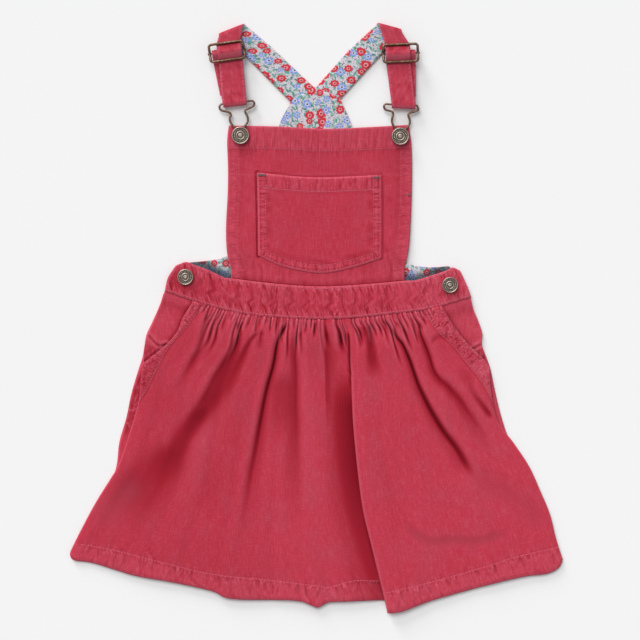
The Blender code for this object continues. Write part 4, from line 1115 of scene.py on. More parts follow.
def creased(spots, lines, width):
    """How near a point is to one of the creases, and to its lit side."""
    groove, crest = np.zeros((2, len(spots)))
    for line in lines:
        away, walk, side = line.measure(spots)
        run = ease(0, 6, walk) * ease(0, 6, line.length - walk)
        groove += run * bell(away, width)
        crest += run * bell(away - 1.8 * width, width) * (side < 0)
    return groove, crest


def crease_shade(spots):
    """How far the shallow creases sink in, how dark their painted shade is and how dusty.
    """
    sunk, dark, dust = np.zeros((3, len(spots)))
    for shaded_crease in SHADED_CREASES:
        off, walk, _ = shaded_crease.line.measure(spots)
        mark = ease(0, 25, walk) * ease(0, 25, shaded_crease.line.length - walk)
        mark *= bell(off, shaded_crease.width)
        sunk += shaded_crease.depth * mark
        dark += shaded_crease.dark * mark
        dust += shaded_crease.dusty * shaded_crease.dark * mark
    return sunk, dark, dust


def sewn_hem(spots, part, v, across, up):
    """The turned-up hem: its puckers, and where points lie beside its stitches."""
    low = v > HEM_LOW
    over, along = np.full(len(v), FAR), np.zeros(len(v))
    for stitch, half in zip(HEM_STITCHES, (part < 1.7, part >= 1.7)):
        off, walk, side = stitch.measure(spots[low])
        over[low] = np.where(half[low], off * side, over[low])
        along[low] = np.where(half[low], walk, along[low])
    in_hem = ease(0.5, -1.5, over)
    row = bell(over, 0.9)
    pucker = uneven(across + 0.25 * up, 6.2, 31) * in_hem * (0.55 + 0.45 * bell(over, 7))
    above = uneven(across, 5.6, 32) * bell(over - 2.5, 3)
    lift = 0.30 * pucker * ease(0, 3, up) + 0.20 * above - 0.30 * row + 0.30 * in_hem
    worn = (0.8 * bell(up, 1.2) + 0.20 * row + 0.12 * in_hem
            + 0.15 * ease(0.1, 0.9, above + pucker))
    drawn = 0.42 * in_hem + 0.45 * bell(over + 3, 2.5) + 0.30 * bell(over - 2, 3)
    # A line of painted shade runs along the stitches, on the hem's side.
    return Hem(lift, worn, 0.35 * bell(over + 1.7, 0.9), drawn, low, over, along)


def pocket_bands(lie, here):
    """The bands along the slanted openings: raised, dimpled and stitched."""
    spots, _, worn, deep, drawn, seam = lie
    for stitch, outside in zip(POCKET_STITCHES, (-1, 1)):
        off, walk, side = stitch.measure(spots)
        band = here & (side == outside)
        raised = ease(0, 2.2, off) * band * ease(0, 25, stitch.length - walk)
        along = ease(1, 14, stitch.length - walk) * here
        dotted = uneven(walk, 4.2, 41) * uneven(off, 5.1, 42)
        spots[:, 2] += raised * (0.4 + 0.20 * dotted) - 0.4 * along * bell(off, 1.0)
        # Low on the band, the right one has rubbed paler and the left one is in shade.
        lower = ease(-38, -52, spots[:, 1]) * band
        worn = worn + raised * (0.12 + 0.30 * dotted) + 0.30 * along * bell(off, 1.0)
        worn += 0.35 * lower * (outside > 0)
        # Painted shade in the band's dimples, low on the left band, and in a line beside
        # the stitches away from the band.
        deep = deep * (1 - raised) + raised * (0.16 + 0.45 * ease(-0.1, -0.6, dotted))
        deep += 0.28 * lower * ease(0.5, 3, off) * along * (outside < 0)
        deep += 0.35 * along * bell(off - 1.2, 0.9) * (side != outside)
        drawn = np.maximum(drawn, raised)
        seam = np.where((raised > 0.02)[:, None], stacked(walk, 1.2 * off), seam)
    return lie._replace(worn=worn, deep=deep, drawn=drawn, seam=seam)


def lowest(spots):
    """The front clears the back, and the pocket facing where one lies under it."""
    over = np.zeros(len(spots))
    for reach, outside in zip(FACING_REACH, (-1, 1)):
        off, _, side = reach.measure(spots)
        near = ease(7, 0, np.where(side == outside, 0, off))
        over = np.maximum(over, near * ease(-78, -62, spots[:, 1]))
    return LOWEST_FRONT + 1.2 * over


print("hem stitches:", [round(row.length) for row in HEM_STITCHES], "mm long")

# %% [markdown]
# ### All of it together
#
# The grid's columns are shared out between the left half, the pleat and the right half,
# and its rows crowd together at the gathers and at the hem, where the form is fine.

# %% Skirt front: the piece
CORD_WALL = 1.0
HALF_COLUMNS = (184, 36, 154)  # left half, pleat, right half
SKIRT_ROWS = 123
ROW_STOPS = ((0, 0.29, 0.85, 1), (0, 0.19, 0.915, 1))
SKIRT_LENGTH = 283
TUCKED_UNDER = 0.8  # of the skirt's top, below the waistband's edge
SIDE_REACH = (320, 180)  # from each side seam to the pleat


def skirt_front_lie(u, v):
    part = np.interp(u, np.cumsum((0,) + HALF_COLUMNS) / sum(HALF_COLUMNS), PARTS)
    v = np.interp(v, *ROW_STOPS)
    waist = v * SKIRT_LENGTH
    across = np.interp(part, PARTS, FLAT_STOPS)
    up = (1 - v) * np.interp(part, PARTS, FLAT_LENGTHS)
    sides = np.minimum(np.minimum(part, 1) * SIDE_REACH[0],
                       np.minimum(3 - part, 1) * SIDE_REACH[1])
    in_pleat = (part >= 1) & (part <= 2)
    spots, deep, worn = joined_parts(part, v)
    shade, inside = recess_shade(spots, v)
    beneath = (part < 1.45) | ((part < 2) & (inside > 0.3))  # the lapped edge shades it
    deep = np.maximum(deep, beneath * shade)
    # The top is tucked under the waistband, with painted shade below the band's edge.
    # The cloth is also a little darker near the waist and on the left.
    tucked = ease(0.006, 0, v)
    spots[:, 1] += TUCKED_UNDER * tucked
    spots[:, 2] -= 0.5 * tucked
    deep = np.maximum(deep, 0.45 * ease(0.012, 0, v))
    deep += 0.07 * ease(0.24, 0.06, v)
    deep += 0.11 * ease(-20, -90, spots[:, 0]) * ease(0.04, 0.2, v)
    hem = sewn_hem(spots, part, v, across, up)
    groove, crest = creased(spots, HEM_CREASES, 1.3)
    sunk, dark, dust = crease_shade(spots)
    free = np.where(in_pleat, 0.25, 1)
    spots[:, 2] += free * (hem.lift - 0.35 * groove + 0.4 * crest - sunk)
    # Painted highlight on the lit side of each hem crease; painted shade in its groove, in
    # the hem's stitch groove and in the shaded creases, which are also paler with dust.
    worn += dust + hem.worn + 0.30 * crest
    deep += hem.deep + 0.20 * groove + dark
    drawn = 0.45 * ease(9, 2, waist) + 0.55 * ease(32, 8, waist) + hem.drawn
    # Puckers cross the hem's stitches near the hem, and the waist seam elsewhere.
    seam = stacked(
        np.where(hem.low, 0.85 * hem.along, 1.15 * np.interp(part, PARTS, SEAM_STOPS)),
        np.where(hem.low, hem.over, 0.40 * waist))
    lie = pocket_bands(Lie(spots, stacked(across, up), worn, deep, free * drawn, seam),
                       (v < 0.45) & ~in_pleat)
    # Nothing sinks into the layers below, and the edges roll down and are rubbed. The
    # pleat's lapped edge gets a painted highlight.
    spots[:, 2] = np.maximum(spots[:, 2], np.where(in_pleat, -FAR, lowest(spots)))
    spots[:, 2] -= rolled(up, 4, 0.8) + 0.45 * bell(sides, 1.6) * ease(0.25, 0.35, v)
    rim = bell(sides, 1.1) * 0.8
    lapped = 0.45 * bell(part - 1.86, 0.05) * ease(0.06, 0.2, v)
    return lie._replace(worn=lie.worn + rim + lapped)


skirt_front = declare(
    sheet("skirt_front_panel", sum(HALF_COLUMNS), SKIRT_ROWS, skirt_front_lie, CORD_WALL,
          NEEDLECORD, dip_shade=0.10),
    "skirt_front")

# %% [markdown]
# ## The layers at the back
#
# The back skirt, waistband and bib lie flat on the table. They show only as edges, so
# they are plain patches with a rubbed rim, the skirt's in shade below the left pocket.
# The lining sits on the back bib, dim where the front stands over it. Its print is
# mapped straight down, because it was cut from flat cloth.

# %% Back pieces
BACK_LEFT = Line(
    (-153.5, 23.5), (-157, 12), (-165, -6), (-170.5, -18), (-172.5, -30), (-174.5, -41),
    (-178.5, -53), (-185.5, -77), (-190.5, -101), (-197.5, -125), (-200, -147),
    (-204.7, -161), (-219.7, -185), (-232.7, -209), (-244, -234))
BACK_RIGHT = Line(
    (154.8, 17.5), (157.5, 7), (162.5, -5), (165.5, -18), (166, -29), (170.5, -41),
    (174.5, -53), (179.5, -77), (185.5, -101), (194, -124), (211.7, -149), (222.7, -173),
    (232.7, -197), (238.7, -221), (244.5, -239))
BACK_HEM = Line(
    (-244, -234), (-238, -240.5), (-182, -253), (-104, -268), (-22, -278), (60, -278),
    (114, -276), (177, -259), (232, -250), (244.5, -239))
BIB_BACK_LEFT = Line(
    (-133, 48.5), (-129, 54), (-108, 56.5), (-89.5, 61), (-72, 72), (-59, 90), (-50, 115),
    (-43, 150), (-37.7, 190.5), (-25.5, 215.5))
BIB_BACK_RIGHT = Line(
    (134, 42), (133.5, 50.3), (121.5, 50), (108.5, 50), (91.5, 53.4), (78, 62), (66, 73),
    (56, 90), (48, 115), (41.5, 150), (35.5, 189.5), (23.8, 218.3))
YOKE = ((-25.5, 215.5), (-1.5, 228.7), (23.8, 218.3))  # its notch is the middle one
BEHIND_TOP, BEHIND_SEAM = (-139.5, 137.5, 31), (-150.5, 148.5, 0)  # from, to, above seam
ON_TABLE, ON_BACK = 0.6, 2.0  # heights of the middle of a wall
BACK_WALL = 1.1
LINING_WALL = 0.9
PRINT_SHIFT = (12, 150)  # where the lining was cut from the print


def seam_part(start, end, offset):
    """The waist seam between two places, moved up."""
    def at(share):
        x = between(start, end, share)
        return stacked(x, SEAM.y_at(x) + offset)
    return at


def yoke(share):
    """The yoke's edge: straight up to the notch where the straps part, and down."""
    return stacked(*[np.interp(share, (0, 0.5, 1), axis) for axis in zip(*YOKE)])


def lined_yoke(share):
    """The lining's own edge there, lapped a little over the straps' ends."""
    return yoke(share) + stacked(0 * share, 1.6 * np.sin(math.pi * share) ** 0.3)


def layer(top, bottom, left, right, height, ripple=0.0, seed=1, rim=0.9):
    """A place function for a flat patch with a rubbed, slightly rolled edge."""
    def place(u, v):
        spots = patch(top, bottom, left, right, u, v)
        wide, high = np.ptp(spots, axis=0)
        edge = np.minimum(np.minimum(u, 1 - u) * wide, np.minimum(v, 1 - v) * high)
        lift = ripple * uneven(spots[:, 0] + 0.4 * spots[:, 1], 31, seed)
        z = height + lift * ease(0, 8, edge)
        return Lie(stacked(spots, z), spots, rim * bell(edge, 1.2))
    return place


def backwards(line):
    return lambda share: line.at(1 - share)


def end_behind(index):
    """An end of the waistband behind: 0 for the left one, 1 for the right one."""
    return Line(*[(row[index], SEAM.y_at(row[index]) + row[2])
                  for row in (BEHIND_TOP, BEHIND_SEAM)]).at


back_layer = layer(seam_part(-153.5, 154.8, -0.3), BACK_HEM.at, BACK_LEFT.at,
                   BACK_RIGHT.at, ON_TABLE)


def skirt_behind(u, v):
    """The back of the skirt, in shade below the left pocket."""
    lie = back_layer(u, v)
    x, y, _ = lie.spots.T
    shade = ease(-50, -64, y) * ease(-126, -104, y) * (x < 0)
    return lie._replace(deep=0.34 * shade, worn=lie.worn * (1 - 0.4 * shade), drawn=shade)


skirt_back = declare(
    sheet("skirt_back_panel", 96, 60, skirt_behind, BACK_WALL, NEEDLECORD),
    "skirt_back")
declare(
    sheet("waistband_behind", 80, 8,
          layer(seam_part(*BEHIND_TOP), seam_part(*BEHIND_SEAM), end_behind(0),
                end_behind(1), ON_TABLE), BACK_WALL, NEEDLECORD),
    "waistband_back")
bib_back = declare(
    sheet("bib_behind", 60, 70,
          layer(yoke, seam_part(-133, 130, 31.3), backwards(BIB_BACK_LEFT),
                backwards(BIB_BACK_RIGHT), ON_TABLE), BACK_WALL, NEEDLECORD),
    "bib_back")
lining_layer = layer(lined_yoke, seam_part(-133, 134, 12), backwards(BIB_BACK_LEFT),
                     backwards(BIB_BACK_RIGHT), ON_BACK, ripple=0.12, seed=6, rim=0.0)


def lining(u, v):
    """The lining, dim where the waistband and the bib stand over it."""
    lie = lining_layer(u, v)
    x, y, _ = lie.spots.T
    above = y - BAND_TOP.y_at(x)
    dim = np.where(x < 0, 0.95, 0.90) * ease(16, 1, above)
    dim = np.maximum(dim, 0.5 * ease(13, 2, np.abs(x) - 86) * (x < 0) * (y < 70))
    return lie._replace(flat=lie.flat + PRINT_SHIFT, deep=dim)


back_lining = declare(
    sheet("lining_behind", 90, 100, lining, LINING_WALL, PRINTED_COTTON),
    "back_lining")

# %% [markdown]
# ## The pocket facings
#
# Behind each slanted opening, a side piece shows between the skirt's edge and the side
# seam. It has one sharp crease and a crumpled foot, and the opening's edge shades it.

# %% Pocket facings
FACING_WALL = 0.9
Facing = namedtuple("Facing", "top bottom left right crease opening rubbed")
FACINGS = {
    "left": Facing(
        Line((-151.2, 28), (-107, 13.5)), Line((-172, -58), (-158, -62)),
        Line((-151.2, 28), (-155.6, 15), (-164, -6), (-169, -17), (-172.6, -31),
             (-173.3, -44), (-172, -58)),
        Line((-107, 13.5), (-112, -8), (-132, -42), (-158, -62)),
        Line((-167.5, -19), (-158.5, -28), (-150, -27)),
        Line(*SIDE_LEFT.spots[::4, :2]), 0.08),
    "right": Facing(
        Line((108, 9.5), (153.6, 22)), Line((160, -66), (172, -66)),
        Line((108, 9.5), (116, -14), (136, -42), (160, -66)),
        Line((153.6, 22), (157, 8), (162, -4), (166, -17), (165.4, -27), (170, -41),
             (172.5, -55), (172, -66)),
        Line((167, -26), (160, -30), (152, -34)),
        Line(*SIDE_RIGHT.spots[::4, :2]), 0.22),
}


def facing_place(facing):
    """The place function of one facing."""
    flat_layer = layer(facing.top.at, facing.bottom.at, facing.left.at, facing.right.at,
                       ON_BACK)

    def place(u, v):
        lie = flat_layer(u, v)
        x, y, z = lie.spots.T
        off, _, _ = facing.crease.measure(lie.spots)
        opening, _, _ = facing.opening.measure(lie.spots)
        fallen = ease(-20, -32, y)
        crumple = uneven(x * 0.7 - y, 9, 44) * fallen
        lift = 0.35 * bell(off - 2.2, 2.2) - 0.25 * bell(off, 1.4) + 0.20 * crumple
        lift += 1.1 * ease(14, 2, SEAM.y_at(x) - y)
        # Paler beside the crease and on the crumples; painted shade in the crease, darker
        # low down, and a painted shadow under the opening's edge.
        worn = lie.worn + 0.45 * bell(off - 2.5, 1.2) + 0.25 * ease(0.3, 1, crumple)
        deep = 0.40 * bell(off, 1.6) + 0.16 * fallen + 1.1 * np.exp(-opening / 2.3)
        return lie._replace(spots=stacked(x, y, z + lift), worn=worn + facing.rubbed,
                            deep=deep, drawn=0.25 + 0.4 * fallen)
    return place


for side, facing in FACINGS.items():
    declare(sheet(f"pocket_side_{side}", 44, 66, facing_place(facing), FACING_WALL,
                  NEEDLECORD, dip_shade=0.4),
            f"pocket_facing_{side}")

# %% [markdown]
# ## The bib and its pocket
#
# The bib lies on the lining and falls to the table past it on both sides. Its upper
# band is turned down and stitched, which puckers it all the way along. The pocket has
# a stitched hem and two rows of stitches round its sides and rounded bottom.

# %% Bib
BIB_TOP = Line((-87.6, 191.7), (-37.5, 190.4), (5.5, 188.1), (36.5, 189), (92.3, 192.3))
BIB_LEFT = Line(
    (-87.6, 191.7), (-89.3, 176), (-88.5, 150), (-88.7, 125), (-90.3, 95), (-90.2, 75),
    (-88.8, 61), (-85.4, 48), (-85.5, 38.7))
BIB_RIGHT = Line(
    (92.3, 192.3), (94.6, 176), (95.5, 158), (95.3, 125), (94.3, 97), (93, 77), (91, 61),
    (88, 49), (88, 36.3))
BIB_WALL = 1.2
BIB_OVER_LINING, BIB_ON_TABLE, BIB_AT_BAND = 3.5, 1.7, 3.0  # heights it rests at
BIB_WIDE = 182
BIB_BAND = 22  # depth of the turned-down band
SIDE_HEM = 11
RUBBED_LINE = 142.5  # height of a faint pale line across the bib
POCKET_TOP = Line((-59.5, 144.5), (-28, 141), (3, 139.4), (35, 140.4), (64.9, 142))
POCKET_LEFT = Line((-59.5, 144.5), (-58.6, 100), (-58.2, 61.5))
POCKET_RIGHT = Line((64.9, 142), (65.2, 100), (64.9, 59))
POCKET_BOTTOM = Line(
    (-58.2, 61.5), (-32.5, 50), (3, 43.7), (31, 48), (54, 55), (64.9, 59))
BIB_CREASES = (Line((-57, 52), (-54, 44), (-55, 36)), Line((-78, 62), (-74, 50)),
               Line((72, 60), (75, 48), (74, 38)))


def side_of_back(line, y):
    """x of the back bib's edge at height y, below the flare at its foot."""
    order = np.argsort(line.spots[:, 1])
    return np.interp(y, line.spots[order, 1], line.spots[order, 0])


def bib_rest(spots):
    """Middle of the bib's wall: on the lining, on the table past it, on the band."""
    x, y = spots[:, 0], spots[:, 1]
    past = np.maximum(side_of_back(BIB_BACK_LEFT, y) - x,
                      x - side_of_back(BIB_BACK_RIGHT, y))
    fall = ease(2, 50, past) * ease(50, 110, y)
    z = between(BIB_OVER_LINING, BIB_ON_TABLE, fall)
    z += 0.3 * (1 - ease(BIB_BAND - 2, BIB_BAND + 2, BIB_TOP.y_at(x) - y))
    return between(BIB_AT_BAND, z, ease(-1, 8, y - BAND_TOP.y_at(x)))


def bib_bottom(share):
    """The bib's foot, a little below the waistband's upper edge."""
    x = between(BIB_LEFT.spots[-1, 0], BIB_RIGHT.spots[-1, 0], share)
    return stacked(x, BAND_TOP.y_at(x) - 1.5)


def bib(u, v):
    v = np.interp(v, (0, 0.30, 1), (0, 0.19, 1))
    spots = patch(BIB_TOP.at, bib_bottom, BIB_LEFT.at, BIB_RIGHT.at, u, v)
    x, y = spots.T
    down = BIB_TOP.y_at(x) - y
    side = np.minimum(u, 1 - u) * BIB_WIDE
    below = down > BIB_BAND
    band = ease(BIB_BAND, BIB_BAND - 3, down)
    row = bell(down - BIB_BAND, 0.9)
    # Form: puckers on the band and beside both hems, long waves, and a few creases.
    ripple = uneven(x + 0.06 * down, 4.3, 51)
    lift = (0.07 + 0.10 * bell(down - BIB_BAND, 6)) * ripple * band
    lift += 0.10 * uneven(x, 5.1, 52) * bell(down - BIB_BAND - 3, 4)
    lift -= 0.08 * row + 0.10 * bell(side - SIDE_HEM, 0.9) * below
    lift += 0.07 * uneven(y, 7, 53) * bell(side - 5, 5) * below
    lift += 0.12 * uneven(x * 0.7 + y * 0.6, 46, 54)
    foot = ease(40, 4, y - BAND_TOP.y_at(x))
    lift += 0.10 * uneven(x + 0.5 * uneven(y, 9, 57), 12, 55) * foot
    for crease in BIB_CREASES:
        off, _, _ = crease.measure(spots)
        lift += 0.14 * bell(off - 2.5, 2.5) - 0.20 * bell(off, 2.0)
    edge = np.minimum(side, down)
    lift -= rolled(edge, 1.8, 0.3)
    z = bib_rest(spots) + lift * ease(0, 3, y - BAND_TOP.y_at(x))
    # Wear on edges, stitches and hems, and dye that is uneven all over. Painted shade in
    # the troughs of the band's ripples; darker beside the side hems, at the sides and
    # towards the foot.
    blotch = uneven(x + 0.4 * y, 13, 58) * uneven(y, 17, 59)
    worn = 0.06 + 0.9 * bell(edge, 1.1) + 0.30 * row + 0.15 * bell(side - SIDE_HEM, 1.2)
    worn += 0.12 * band + 0.20 * bell(side - 4.5, 3) + 0.18 * ease(0.1, 1, blotch)
    worn += 0.25 * bell(y - RUBBED_LINE, 1.0) * below
    deep = 0.12 + 0.06 * band * ease(0, -1, ripple) + 0.16 * ease(0, -1, blotch)
    deep += 0.10 * bell(side - SIDE_HEM - 2.5, 2.5) * below + 0.06 * foot
    deep += 0.10 * bell(side, 6)
    # Painted shade round the pocket's edges, darkest along its left side.
    for line, dark in ((POCKET_TOP, 0.60), (POCKET_LEFT, 1.1), (POCKET_RIGHT, 0.6),
                       (POCKET_BOTTOM, 0.15)):
        off, _, _ = line.measure(spots)
        deep = np.maximum(deep, dark * bell(off - 1.2, 1.1))
    drawn = 0.36 * band + 0.4 * bell(down - BIB_BAND, 4) + 0.12 * foot
    drawn = np.maximum(drawn, 0.35 * bell(side - 6, 6) * below) + 0.12
    across = (side < SIDE_HEM + 4) & (down > BIB_BAND + 2)
    seam = np.where(across[:, None], stacked(0.9 * y, x), stacked(2.4 * x, 0.6 * y))
    return Lie(stacked(spots, z), spots, worn, deep, drawn, seam)


bib_front = declare(
    sheet("bib_panel", 150, 120, bib, BIB_WALL, NEEDLECORD),
    "bib_front")

# %% Bib pocket
POCKET_WALL = 1.0
POCKET_WIDE = 123.5
POCKET_HEM = 14.2
POCKET_LIE = BIB_WALL / 2 - 0.2 + POCKET_WALL / 2
DOUBLE_ROW = 6.0  # between the two rows of stitches


def bib_pocket_lie(u, v):
    spots = patch(POCKET_TOP.at, POCKET_BOTTOM.at, POCKET_LEFT.at, POCKET_RIGHT.at, u, v)
    x, y = spots.T
    down = POCKET_TOP.y_at(x) - y
    side = np.minimum(u, 1 - u) * POCKET_WIDE
    foot = y - POCKET_BOTTOM.y_at(x)
    rim = np.minimum(side, foot * 0.97)
    rows = bell(rim - STITCH_IN, 0.9) + bell(rim - STITCH_IN - DOUBLE_ROW, 0.9)
    hem_row = bell(down - POCKET_HEM, 0.9) * (side > STITCH_IN)
    walk = np.where(side < foot, y, x)
    between_rows = bell(rim - STITCH_IN - DOUBLE_ROW / 2, 3.2)
    ticks = uneven(walk, 4.4, 62) * between_rows  # short puckers between the rows
    in_hem = ease(POCKET_HEM + 1, POCKET_HEM - 2, down)
    ripple = uneven(x, 5.6, 61) * in_hem
    lift = 0.13 * ripple + 0.14 * ticks
    lift += 0.35 * np.sin(math.pi * u) * (1 - v) ** 0.5 * ease(0, 9, rim)
    lift += 0.12 * uneven(x * 0.8 - y * 0.5, 52, 63)
    lift -= 0.22 * np.maximum(rows, hem_row)
    edge = np.minimum(rim, down)
    lift -= rolled(edge, 1.6, 0.55)
    z = bib_rest(spots) + POCKET_LIE + lift
    worn = 0.70 * bell(edge - 0.5, 0.9) + 0.10 * rows + 0.45 * hem_row
    worn += 0.18 * ease(0, 0.9, ticks) + 0.03 * in_hem
    worn += 0.14 * ease(0.1, 1, ripple)
    # Painted shade in the troughs of the ticks and ripples, inside the outer row of
    # stitches, beside the inner row with a mottle, and below the hem's row.
    deep = 0.08 + 0.15 * ease(-0.1, -0.9, ticks) + 0.10 * ease(-0.1, -1, ripple)
    deep += 0.40 * bell(rim - STITCH_IN - 0.9, 0.9) * (1 - 0.5 * ease(0, 0.9, ticks))
    within = rim - STITCH_IN - DOUBLE_ROW
    blotch = uneven(y + 0.3 * x, 12, 64)
    deep += (0.16 + 0.14 * blotch) * bell(within - 3, 3) * (down > POCKET_HEM)
    deep += 0.16 * bell(down - POCKET_HEM - 1.8, 1.2) * (within > 0)
    drawn = np.maximum(0.70 * between_rows, 0.5 * in_hem) + 0.12
    seam = stacked(np.where(down < rim, 1.3 * x, 1.2 * walk), np.minimum(down, rim))
    return Lie(stacked(spots, z), spots, worn, deep, drawn, seam)


bib_pocket = declare(
    sheet("pocket_panel", 116, 92, bib_pocket_lie, POCKET_WALL, NEEDLECORD),
    "bib_pocket")

# %% [markdown]
# ## The straps
#
# A strap starts at the back yoke with its printed side up, folds over at the shoulder
# and comes down with its red side up. It passes under the slider's frame and over its
# middle bar, runs down to the clip, turns round the clip's bar, and goes back up
# beneath itself to the middle bar, where its end is turned over and sewn down. From
# the side this is a belt running over a set of bars, so it is worked out as one:
# straight runs that touch each bar, joined by arcs. Two layers share that path, the
# cord on one side and the print on the other.

# %% Straps: the path
STRAP_WIDE, TAIL_WIDE = 24.2, 23.4
STRAP_HALF = 1.15  # half of the two layers and the gap between
SHOULDER_TURN = 2.7  # radius of its fold at the shoulder
FOLD_STEPS = 12
FOLD_SHIFT = 1.4  # of the fold's outer end, halfway round
SLIDER_DEEP, SLIDER_WIDE = 17.3, 34.3
SLIDER_HEIGHT, SLIDER_DROP = 9.1, 2.5
SLIDER_WIRE, SLIDER_BAR = 1.3, 0.9
CLIP_HEIGHT, CLIP_TURN, CLIP_WIRE = 4.1, 2.7, 1.05
UNDER_BAR = SLIDER_WIRE + 0.1 + STRAP_HALF  # radii of the strap's middle on the bars
NEXT_LAYER = 2 * STRAP_HALF + 0.3
LOOP = SLIDER_BAR + 0.3 + STRAP_HALF
TAIL_END = (-32, 4.02)  # place along from the slider, and height
IN_SLIDER = 9.2  # the strap runs straight this far from its middle

# Each side's places, seen from above. Pairs go from the strap's inner edge to its outer.
Side = namedtuple("Side", "name turn yoke halfway shoulder folded slider tilt lane "
                          "tail_lane bar bar_tilt clip button side_button")
LEFT = Side(
    name="left", turn=-1,
    yoke=((-1.9, 229.3), (-26.0, 215.9)), halfway=((-45.5, 270.5), (-70.6, 260.8)),
    shoulder=((-69.2, 290.6), (-97.2, 280.2)), folded=((-74.2, 289.2), (-97.6, 279.6)),
    slider=(-89.4, 264.7), tilt=8.0, lane=2.6, tail_lane=-3.2,
    bar=(-81.8, 214.4), bar_tilt=6.3,
    clip=((-94.9, 213.0), (-68.8, 215.9), (-65.1, 216.9), (-62.2, 214.2),
          (-63.7, 210.5), (-70.7, 207.1), (-71.3, 204.7), (-68.9, 200.1),
          (-68.9, 195.1), (-72.0, 189.7), (-72.2, 181.5), (-73.4, 178.4),
          (-76.0, 177.3), (-78.6, 178.4), (-79.8, 181.5), (-80.6, 187.0),
          (-85.6, 194.0), (-86.9, 198.4), (-85.5, 202.2), (-87.7, 204.7),
          (-95.3, 206.7), (-97.1, 210.3)),
    button=(-76.0, 181.3), side_button=(-130.9, 39.8))
RIGHT = Side(
    name="right", turn=1,
    yoke=((-1.1, 229.3), (24.2, 218.8)), halfway=((32.0, 266.5), (52.5, 249.5)),
    shoulder=((58.8, 291.4), (84.6, 284.6)), folded=((62.8, 290.2), (85.4, 284.0)),
    slider=(83.9, 263.1), tilt=2.2, lane=-2.6, tail_lane=3.2,
    bar=(87.0, 212.0), bar_tilt=-2.5,
    clip=((73.1, 212.6), (100.5, 211.4), (102.4, 209.4), (100.6, 206.3),
          (93.0, 203.8), (91.8, 201.3), (93.3, 196.8), (92.6, 191.8),
          (88.3, 186.5), (87.5, 180.6), (86.3, 177.5), (83.7, 176.4),
          (81.1, 177.5), (79.9, 180.6), (79.5, 186.5), (76.0, 193.0),
          (75.4, 197.6), (76.8, 203.0), (75.2, 205.4), (69.0, 207.4),
          (67.4, 210.6), (69.4, 212.9)),
    button=(83.7, 180.4), side_button=(133.3, 31.9))


def belt(start, bars, end):
    """A belt's side view round bars (place, height, signed radius), with arcs."""
    stops = [(*start, 0), *bars, (*end, 0)]
    headings = []
    for near, far in zip(stops, stops[1:]):
        along, up = far[0] - near[0], far[1] - near[1]
        slant = math.asin((far[2] - near[2]) / math.hypot(along, up))
        headings.append(math.atan2(up, along) - slant)
    for index in range(1, len(headings)):
        while headings[index] - headings[index - 1] > 1.25 * math.pi:
            headings[index] -= 2 * math.pi
        while headings[index] - headings[index - 1] < -1.25 * math.pi:
            headings[index] += 2 * math.pi
    spots = [start]
    for (place, height, radius), into, out in zip(bars, headings, headings[1:]):
        if radius > 0 and into - out > 0.5:
            out += 2 * math.pi
        for heading in np.linspace(into, out, 2 + int(abs(out - into) / 0.2)):
            spots.append((place + radius * math.sin(heading),
                          height - radius * math.cos(heading)))
    return spots + [end]


def tilted(degrees):
    """The way across, turned by an angle."""
    return np.array([math.cos(math.radians(degrees)), math.sin(math.radians(degrees))])


def strap_to_fold(side):
    """Lines across the strap from the yoke to the end of its fold at the shoulder."""
    rulings = [(*inner, STRAP_HALF, *outer, STRAP_HALF)
               for inner, outer in (side.yoke, side.halfway, side.shoulder)]
    inner, outer = np.array(side.shoulder)
    outward = np.array([inner[1] - outer[1], outer[0] - inner[0]])
    outward *= math.copysign(1, outward[1]) / np.hypot(*outward)
    inward = (inner - outer) / np.hypot(*(inner - outer))
    for angle in np.linspace(0, math.pi, FOLD_STEPS + 1)[1:]:
        height = STRAP_HALF + SHOULDER_TURN * (1 - math.cos(angle))
        reach = outward * SHOULDER_TURN * math.sin(angle)
        ends = [between(np.array(low), np.array(high), angle / math.pi) + reach
                for low, high in zip(side.shoulder, side.folded)]
        ends[1] = ends[1] + inward * (FOLD_SHIFT * math.sin(angle))
        rulings.append((*ends[0], height, *ends[1], height))
    return rulings


def strap_rulings(side):
    """Lines across the whole strap, inner end and outer end, from yoke to tail."""
    rulings = strap_to_fold(side)
    slider, clip = np.array(side.slider), np.array(side.bar)
    lanes = [slider + tilted(side.tilt) * offset for offset in (side.lane,
                                                                side.tail_lane)]
    length = np.hypot(*(clip - lanes[0]))
    folded = np.array(side.folded)
    folded_middle = folded.mean(axis=0)
    fold_at = np.hypot(*(folded_middle - lanes[0]))
    fold_way = (folded[1] - folded[0]) * side.turn
    fold_tilt = math.degrees(math.atan2(fold_way[1], fold_way[0]))
    half, middle = SLIDER_DEEP / 2, SLIDER_HEIGHT - SLIDER_DROP
    bars = ((half, SLIDER_HEIGHT, -UNDER_BAR), (0, middle, LOOP + NEXT_LAYER),
            (-half, SLIDER_HEIGHT, -UNDER_BAR), (-length, CLIP_HEIGHT, CLIP_TURN),
            (-half, SLIDER_HEIGHT, UNDER_BAR + 2 * NEXT_LAYER), (0, middle, LOOP),
            (-half, SLIDER_HEIGHT, -UNDER_BAR - NEXT_LAYER))
    side_view = belt((fold_at, STRAP_HALF + 2 * SHOULDER_TURN), bars, TAIL_END)
    up = np.array([-tilted(side.tilt)[1], tilted(side.tilt)[0]])
    turned = False
    for place, height in side_view[1:]:
        turned = turned or place < -length
        lane, wide = (lanes[1], TAIL_WIDE) if turned else (lanes[0], STRAP_WIDE)
        target, far, end_tilt = clip, length, side.bar_tilt
        if place > 0:
            target, far, end_tilt = folded_middle, fold_at, fold_tilt
        share = min(max(0, (abs(place) - IN_SLIDER) / (far - IN_SLIDER)), 1)
        centre = between(lane + up * place, target, share)
        if place < -length:
            centre = centre + up * (place + length)
        across = tilted(between(side.tilt, end_tilt, share)) * side.turn * wide / 2
        rulings.append((*(centre - across), height, *(centre + across), height))
    return np.array(rulings)


